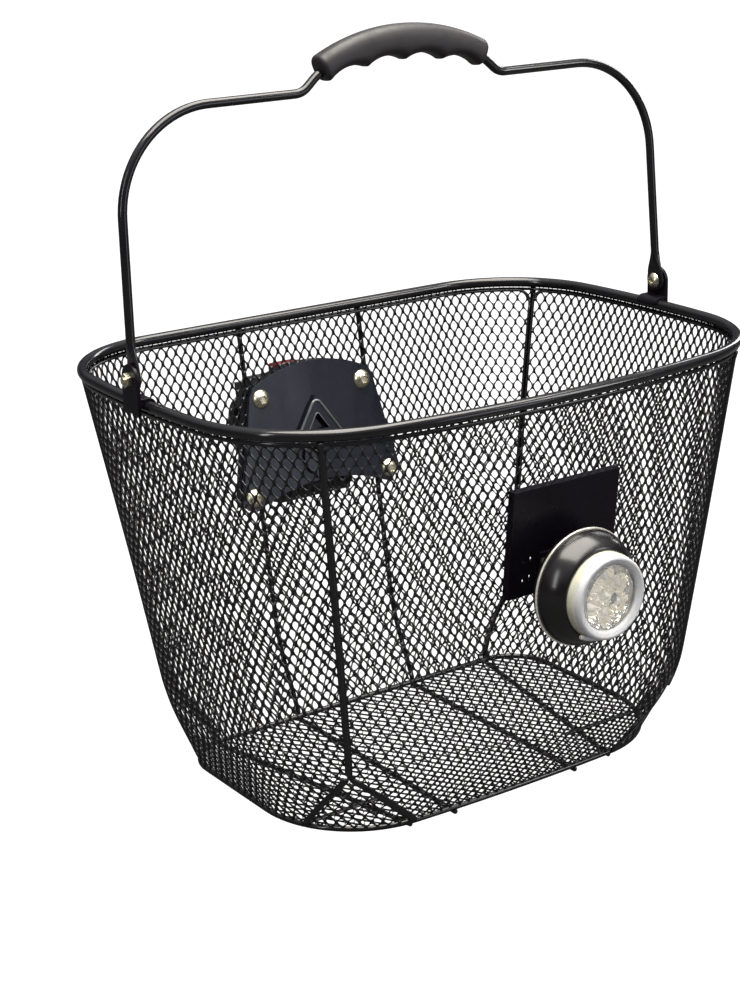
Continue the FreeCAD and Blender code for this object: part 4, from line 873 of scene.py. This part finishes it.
def make_handle():
    """One bent wire that flattens towards an eye at each end."""
    left = [(-181.0, -6.9), (-180.4, 8.0), (-180.8, 16.0), (-177.0, 134.5),
            (-66.0, 134.5), (-56.0, 143.0), (-28.5, 154.0)]
    corners = left + [(-x, z) for x, z in reversed(left)]
    radii = [20.0, 20.0, 55.0, 12.0, 14.0, 40.0]
    line = rounded([np.array([x, 0.0, z]) for x, z in corners], radii + radii[::-1], 4.0)
    line = resampled(line, 1.6)
    outer = np.abs(line[:, 0]) > 150
    half_wide = np.full(len(line), HANDLE_WIRE)
    half_thick = np.full(len(line), HANDLE_WIRE)
    z = line[outer, 2]
    disc = np.sqrt(np.maximum(EYE_RADIUS ** 2 - z ** 2, 1.2))
    neck = NECK_HALF + (HANDLE_WIRE - NECK_HALF) * ease((z - 3.0) / 16.0)
    half_wide[outer] = np.where(z < 3.0, disc, neck)
    half_thick[outer] = EYE_HALF_THICK + (HANDLE_WIRE - EYE_HALF_THICK) * ease((z - 8.0) / 11.0)
    path = leaned(line) + PIVOT
    tangents = unit(np.gradient(path, axis=0))
    ups = leaned(np.tile([0.0, 1.0, 0.0], (len(path), 1)))
    sides = np.cross(tangents, ups)
    turns = around(20)[None]
    flat = 1 - (half_thick - EYE_HALF_THICK) / (HANDLE_WIRE - EYE_HALF_THICK)
    power = (2 / (2 + 2.5 * flat))[:, None]
    profiles = np.stack([signed_power(np.cos(turns), power) * half_thick[:, None],
                         signed_power(np.sin(turns), power) * half_wide[:, None]], 2)
    points, faces = sweep(path, profiles, sides, ups)
    build("handle_wire_bent", points * MM, faces, ENAMEL, "handle", ["handle_wire"])


def make_grip():
    """Arched grip with four finger scallops, its ends square to the arch and rounded."""
    radius, half_length, crown_z = 144.7, 54.5, 156.4
    half_turn = math.asin(half_length / radius)
    centre_z = crown_z - radius
    fingers, round_off = 4, 2.4
    arc_half = radius * half_turn
    path, profiles, sides, ups = [], [], [], []
    turns = around(48)
    for t in np.linspace(-1.0, 1.0, 150):
        angle = t * half_turn
        up = np.array([math.sin(angle), 0.0, math.cos(angle)])
        middle = np.array([0.0, 0.0, centre_z]) + up * radius
        phase = (t * 1.04 + 1) / 2 * fingers
        scallop = abs(math.sin(math.pi * min(max(phase, 0.0), fingers)))
        blend_in = ease((1 - abs(t)) / 0.10)
        top = 7.2 + 2.5 * (1 - t * t)
        bottom = 7.3 + 2.2 * (1 - t * t) - (3.4 * scallop ** 0.8 - 0.4) * blend_in
        wide = 7.2 + 0.8 * (1 - t * t)
        near = arc_half * (1 - abs(t))
        if near < round_off:
            shrink = round_off - math.sqrt(max(round_off ** 2 - (round_off - near) ** 2, 0.0))
            top, bottom, wide = top - shrink, bottom - shrink, wide - shrink
        x = signed_power(np.cos(turns), 2 / 3.0) * wide
        z = signed_power(np.sin(turns), 2 / 3.0)
        z = np.where(z > 0, z * top, z * bottom)
        x = x * (1 - 0.16 * np.clip(z / max(top, 1), 0, 1) ** 2)
        path.append(middle)
        profiles.append(np.column_stack([x, z]))
        sides.append((0.0, 1.0, 0.0))
        ups.append(up)
    path = leaned(path) + PIVOT
    points, faces = sweep(path, np.array(profiles), leaned(sides), leaned(ups))
    points, faces = outward(points * MM, faces)
    build("handle_grip_moulded", points, faces, GRIP, "handle", ["handle_grip"])


# ---------------- lamp

LAMP_Z = 141.45


def lamp_piece(name, profile, paint, node, radii=None):
    """A turned lamp part from its (radius, forward distance) outline, which is closed."""
    profile = [np.array([r, -y]) for r, y in profile]
    if radii is not None:
        looped = [profile[-1]] + profile + [profile[0]]
        profile = list(rounded(looped, radii, 12.0)[1:-1])
    points, faces = lathe(profile, (0.0, LAMP_Z), 112)
    points, faces = outward(points * MM, faces)
    build(name, points, faces, paint, "lamp", [node])


def make_lamp():
    """The lamp's turned outer parts, and the small lug at the bezel's foot."""
    lamp_piece("lamp_edge_ring_turned",
               [(30.0, 147.1), (32.4, 147.1), (32.4, 148.6), (30.0, 148.6)],
               TRIM, "lamp_edge_ring", [0.2, 0.7, 0.7, 0.2])
    outer = [(31.8, 148.6), (31.5, 150.3), (30.8, 152.7), (29.8, 155.1), (28.5, 157.5),
             (27.0, 159.7), (25.6, 161.3), (24.7, 162.1), (23.8, 162.3)]
    inner = [(23.4, 161.7), (24.2, 160.3), (26.0, 158.3), (28.0, 155.3), (29.6, 151.3),
             (30.0, 148.6)]
    lamp_piece("lamp_bell_turned", outer + inner, BELL, "lamp_bell")
    bezel = [(22.4, 160.3), (23.4, 161.3), (23.3, 166.6), (22.7, 167.4), (22.8, 168.9),
             (22.6, 170.3), (21.8, 171.0), (20.9, 171.1), (19.0, 170.3), (18.0, 169.4),
             (17.6, 167.5), (17.8, 160.7), (20.0, 160.3)]
    lamp_piece("lamp_bezel_turned", bezel, BEZEL, "lamp_bezel",
               [0.4, 0.7, 0.5, 0.3, 0.5, 0.8, 0.8, 0.8, 0.7, 0.4, 0.5, 0.3, 0.5])
    lug = []
    for k in range(13):
        part = k / 12
        angle = math.radians(256 - 30 * part)
        radius = 21.8 + 3.4 * part ** 1.3
        lug.append((radius * math.cos(angle), 1.2 * part - 168.1,
                    LAMP_Z + radius * math.sin(angle)))
    points, faces = wire(np.array(lug), 1.35, (0, 1, 0), 16)
    build("lamp_bezel_lug", points * MM, faces, BEZEL, "lamp", [])
    lens = [(0.3, 167.9), (17.2, 167.9), (17.5, 168.5), (17.2, 169.1), (12.0, 169.5),
            (6.0, 169.7), (0.3, 169.8)]
    lamp_piece("lamp_lens_turned", lens, LENS, "lamp_lens")


LED_CIRCLE, LED_RADIUS, CUP_RADIUS, CUP_DEPTH = 10.0, 2.5, 5.3, 8.0
REFLECTOR_RADIUS, REFLECTOR_FACE, FACET = 17.3, 166.6, 0.8


def led_spots():
    """One LED in the middle and six round it, as (x, z) from the lamp's axis."""
    turns = [math.radians(60 * k + 30) for k in range(6)]
    return [(0.0, 0.0)] + [(LED_CIRCLE * math.cos(t), LED_CIRCLE * math.sin(t)) for t in turns]


def make_reflector():
    """One plated disc pressed into seven faceted cups."""
    spots = np.array(led_spots())
    rings, segments = 24, 72
    radii = np.linspace(0.0, REFLECTOR_RADIUS, rings)
    points, faces = [], []
    for i, r in enumerate(radii):
        for k in range(segments):
            turn = 2 * math.pi * (k + 0.5 * (i % 2)) / segments
            x, z = r * math.cos(turn), r * math.sin(turn)
            near = np.min(np.hypot(spots[:, 0] - x, spots[:, 1] - z))
            cup = max(0.0, 1 - (near / CUP_RADIUS) ** 2)
            scatter = math.sin(12.9898 * i + 78.233 * k) * 43758.5453  # uneven, the same each run
            ripple = FACET * (scatter - math.floor(scatter) - 0.5) if i else 0.0
            points.append((x, CUP_DEPTH * cup ** 0.75 + ripple - REFLECTOR_FACE, LAMP_Z + z))
    for i in range(rings - 1):
        for k in range(segments):
            n = (k + 1) % segments
            a, b = i * segments, (i + 1) * segments
            faces += [(a + k, a + n, b + n), (a + k, b + n, b + k)]
    points, faces = outward(np.array(points) * MM, faces)
    build("lamp_reflector_faceted", points, faces, CHROME, "lamp", ["lamp_reflector"],
          flat=True)


def make_leds():
    """Round-nosed LEDs, each with a wider flange at its back."""
    back, shoulder, axis = -156.7, -163.7, 0.02
    parts = []
    for x, z in led_spots():
        dome = [(axis, back), (2.9, back), (2.9, back - 1.0), (LED_RADIUS, back - 1.2),
                (LED_RADIUS, shoulder)]
        for k in range(1, 8):
            turn = math.radians(90 * k / 8)
            dome.append((LED_RADIUS * math.cos(turn), shoulder - LED_RADIUS * math.sin(turn)))
        dome.append((axis, shoulder - LED_RADIUS))
        points, faces = lathe(dome, (x, LAMP_Z + z), 24)
        parts.append(outward(points * MM, faces))
    points, faces = joined(parts)
    build("lamp_leds_domed", points, faces, EPOXY, "lamp", ["lamp_leds"])


# ---------------- adapter plate

# The back wall's lean, and the middle of the plate on its outer face.
WALL_TOP, PLATE_Z = 239.65, 166.85
WALL_LEAN = math.atan((RIM[2] - BEND[2]) / (WALL_TOP - BEND_Z))
WALL_AT = np.array([0.0, RIM[2] + HALF_SHEET - math.tan(WALL_LEAN) * (WALL_TOP - PLATE_Z), PLATE_Z])


def on_wall(points):
    """Points of the back wall's own frame (across, out, up) in the basket's."""
    c, s = math.cos(WALL_LEAN), math.sin(WALL_LEAN)
    return np.asarray(points, float) @ np.array([[1, 0, 0], [0, c, -s], [0, s, c]]) + WALL_AT


def make_plate_ridges():
    """Rounded ridges along the hook frame's edges and round the boss below it, lighter than the
    plate as a painted highlight.
    """
    face, boss_face, boss_radius, boss_drop = -6.7, -6.3, 12.3, 12.0
    hook = rounded([(-19.6, face, -4.0), (0.0, face, 25.4), (19.6, face, -4.0)], [3.5], 10.0)
    window = rounded([(-7.4, face, 4.9), (0.0, face, 16.0), (7.4, face, 4.9)], [1.6], 10.0)
    turns = np.radians(np.linspace(28, 152, 32))
    boss = np.column_stack([boss_radius * np.cos(turns), np.full(len(turns), boss_face),
                            boss_radius * np.sin(turns) - boss_drop])
    parts = [wire(on_wall(path), radius, (0, 1, 0), 12)
             for path, radius in ((hook, 0.85), (window, 0.4), (boss, 0.55))]
    points, faces = joined(parts)
    build("adapter_plate_ridges", points * MM, faces, RIDGE_PAINTED_HIGHLIGHT, "basket", [])


# ---------------- parts kept from CAD


SOFTENED, CREASED = math.radians(34), math.radians(50)


def refine(node, paint, body, bevel):
    """The CAD node's own shape with its flat faces merged and its sharp edges softened."""
    made = bmesh.new()
    made.from_mesh(frame["nodes"][node].data)
    bmesh.ops.remove_doubles(made, verts=made.verts, dist=2e-6)
    bmesh.ops.dissolve_limit(made, angle_limit=math.radians(0.6), verts=made.verts,
                             edges=made.edges, use_dissolve_boundaries=False)
    bmesh.ops.recalc_face_normals(made, faces=made.faces)
    sharp = [e for e in made.edges if len(e.link_faces) == 2 and e.calc_face_angle(0) > SOFTENED]
    if bevel and sharp:
        bmesh.ops.bevel(made, geom=sharp, offset=bevel * MM, offset_type="OFFSET",
                        segments=2, profile=0.5, affect="EDGES", clamp_overlap=True)
    for face in made.faces:
        face.smooth = True
    for edge in made.edges:
        if len(edge.link_faces) == 2 and edge.calc_face_angle(0) > CREASED:
            edge.smooth = False
    bmesh.ops.triangulate(made, faces=[f for f in made.faces if len(f.verts) > 4])
    mesh = bpy.data.meshes.new(node + "_finished")
    made.to_mesh(mesh)
    made.free()
    mesh.materials.append(paint)
    piece = linked(node + "_finished", mesh)
    weight = piece.modifiers.new("even_shading", "WEIGHTED_NORMAL")
    weight.keep_sharp = True
    weight.weight = 100
    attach(piece, body)
    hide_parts(node)
    return piece


# Each CAD node shown in its own shape: its material and the width of its softened edges in mm.
REFINED = {
    "handle_tab_left": (SHEET, 0.35), "handle_tab_right": (SHEET, 0.35),
    "adapter_plate": (PLATE, 0.5), "hook_plate": (PLATE, 0.5),
    "light_plate": (SHEET, 0.3), "lamp_bracket": (SHEET, 0.25),
    "bracket_housing": (HOUSING, 0.7), "clamp_caps": (HOUSING, 0.6),
    "latch": (HOUSING, 0.3), "release_button": (BUTTON, 0.6), "bar_shims": (RUBBER, 0.25),
    "plate_bolts": (ZINC, 0.12), "plate_nuts": (ZINC, 0.2), "plate_washers": (ZINC, 0.12),
    "handle_pivot_bolts": (ZINC, 0.1), "handle_pivot_nuts": (ZINC, 0.2),
    "clamp_bolts": (ZINC, 0.15), "clamp_inserts": (ZINC, 0.1),
    "lamp_bracket_screws": (ZINC, 0.1), "lamp_pivot_bolt": (ZINC, 0.15),
    "lamp_pivot_nut": (ZINC, 0.15), "lamp_switch_button": (RUBBER, 0.4),
    "lamp_rear_shell": (BELL, 0.4), "button_spring": (STEEL, 0),
}
# CAD nodes shown as they are, inside the lamp.
KEPT = {"lamp_circuit_board": BOARD, "lamp_coin_cells": STEEL,
        "lamp_battery_contact": STEEL}


def body_of(node):
    groups = frame["record"]["behaviour"]["bodies"]
    for body, nodes in groups.items():
        if node in nodes:
            return body
    return "basket"


def shorten_spring(coil):
    """Gives the spring its own copy of its mesh."""
    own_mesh(coil)


def make_carried_parts():
    for node, (paint, bevel) in REFINED.items():
        piece = refine(node, paint, body_of(node), bevel)
        if node == "button_spring":
            shorten_spring(piece)
    for node, paint in KEPT.items():
        data = frame["nodes"][node].data
        data.materials.clear()
        data.materials.append(paint)


make_panels()
make_gussets()
make_floor()
make_rings()
make_frame_wires()
make_handle()
make_grip()
make_lamp()
make_reflector()
make_leds()
make_plate_ridges()
make_carried_parts()

# ---------------- camera, light and floor


def make_camera():
    """A camera turned round the basket's front left, looking down a little."""
    azimuth, elevation, roll = math.radians(-34.50), math.radians(18.16), math.radians(-1.62)
    target, distance = Vector((-0.01483, 0.02576, 0.14843)), 1.1906
    back = Vector((math.sin(azimuth) * math.cos(elevation),
                   -math.cos(azimuth) * math.cos(elevation), math.sin(elevation)))
    across = Vector((0, 0, 1)).cross(back).normalized()
    up = back.cross(across)
    right = across * math.cos(roll) + up * math.sin(roll)
    top = up * math.cos(roll) - across * math.sin(roll)
    turn = Matrix((right, top, back)).transposed().to_4x4()
    data = bpy.data.cameras.new("camera")
    data.lens, data.sensor_width = 73.007, 36.0
    camera = linked("camera", data)
    camera.matrix_world = Matrix.Translation(target + back * distance) @ turn
    bpy.context.scene.camera = camera
    data.clip_start, data.clip_end = 0.05, 50.0


def softbox(name, place, aim, size, power, tint=(1.0, 1.0, 1.0)):
    """A soft rectangular light of a size in metres and a power in watts."""
    data = bpy.data.lights.new(name, "AREA")
    data.color = tint
    data.shape = "RECTANGLE"
    data.size, data.size_y = size
    data.energy = power
    lamp = linked(name, data)
    lamp.location = place
    lamp.rotation_euler = (Vector(aim) - Vector(place)).to_track_quat("-Z", "Y").to_euler()


def make_world():
    """White behind the object, and a dark room that is bright overhead to light it."""
    world = bpy.data.worlds.new("studio")
    world.use_nodes = True
    tree = world.node_tree
    back = tree.nodes["Background"]
    path = tree.nodes.new("ShaderNodeLightPath")
    room = ramp(tree, coordinate(tree, "Generated", "Z"), (0.05, 0.05, 0.06),
                (0.9, 0.9, 0.93), 0.25, 0.95)
    seen = blended(tree, path.outputs["Is Camera Ray"], room, (1.0, 1.0, 1.0, 1.0))
    tree.links.new(seen, back.inputs["Color"])
    bpy.context.scene.world = world


def make_ground():
    """A floor that looks white but throws little light up on the black basket."""
    size = 12.0
    points = [(-size, -size, 0), (size, -size, 0), (size, size, 0), (-size, size, 0)]
    mesh = bpy.data.meshes.new("studio_floor")
    mesh.from_pydata([(x, y, z - 0.0002) for x, y, z in points], [], [(0, 1, 2, 3)])
    paint = material("pale_floor", (0.035, 0.035, 0.035), (0.045, 0.045, 0.045), (0.7, 0.8),
                     tone_scale=3.0, Emission_Color=(1.0, 1.0, 1.0, 1.0))
    tree = paint.node_tree
    path = tree.nodes.new("ShaderNodeLightPath")
    glow = ramp(tree, path.outputs["Is Camera Ray"], 0.04, 1.1, 0.0, 1.0)
    tree.links.new(glow, tree.nodes["Principled BSDF"].inputs["Emission Strength"])
    mesh.materials.append(paint)
    ground = linked("studio_floor", mesh)


def make_studio():
    bpy.context.scene.view_settings.view_transform = "Standard"
    make_world()
    softbox("overhead", (0.1, -0.2, 1.7), (0, 0, 0.1), (1.8, 1.3), 80.0, (1.0, 0.95, 0.86))
    softbox("fill", (0.87, -1.75, 0.3), (0, 0, 0.2), (0.5, 0.6), 2.2, (0.86, 0.88, 1.0))
    softbox("key", (1.2, -1.3, 1.1), (0, 0, 0.2), (0.35, 0.9), 8.0)
    softbox("side", (1.5, 0.5, 0.9), (0, 0, 0.2), (0.3, 1.0), 9.0)
    softbox("edge", (-1.5, -0.5, 0.8), (0, 0, 0.2), (0.12, 0.9), 4.0)
    make_ground()


make_camera()
make_studio()
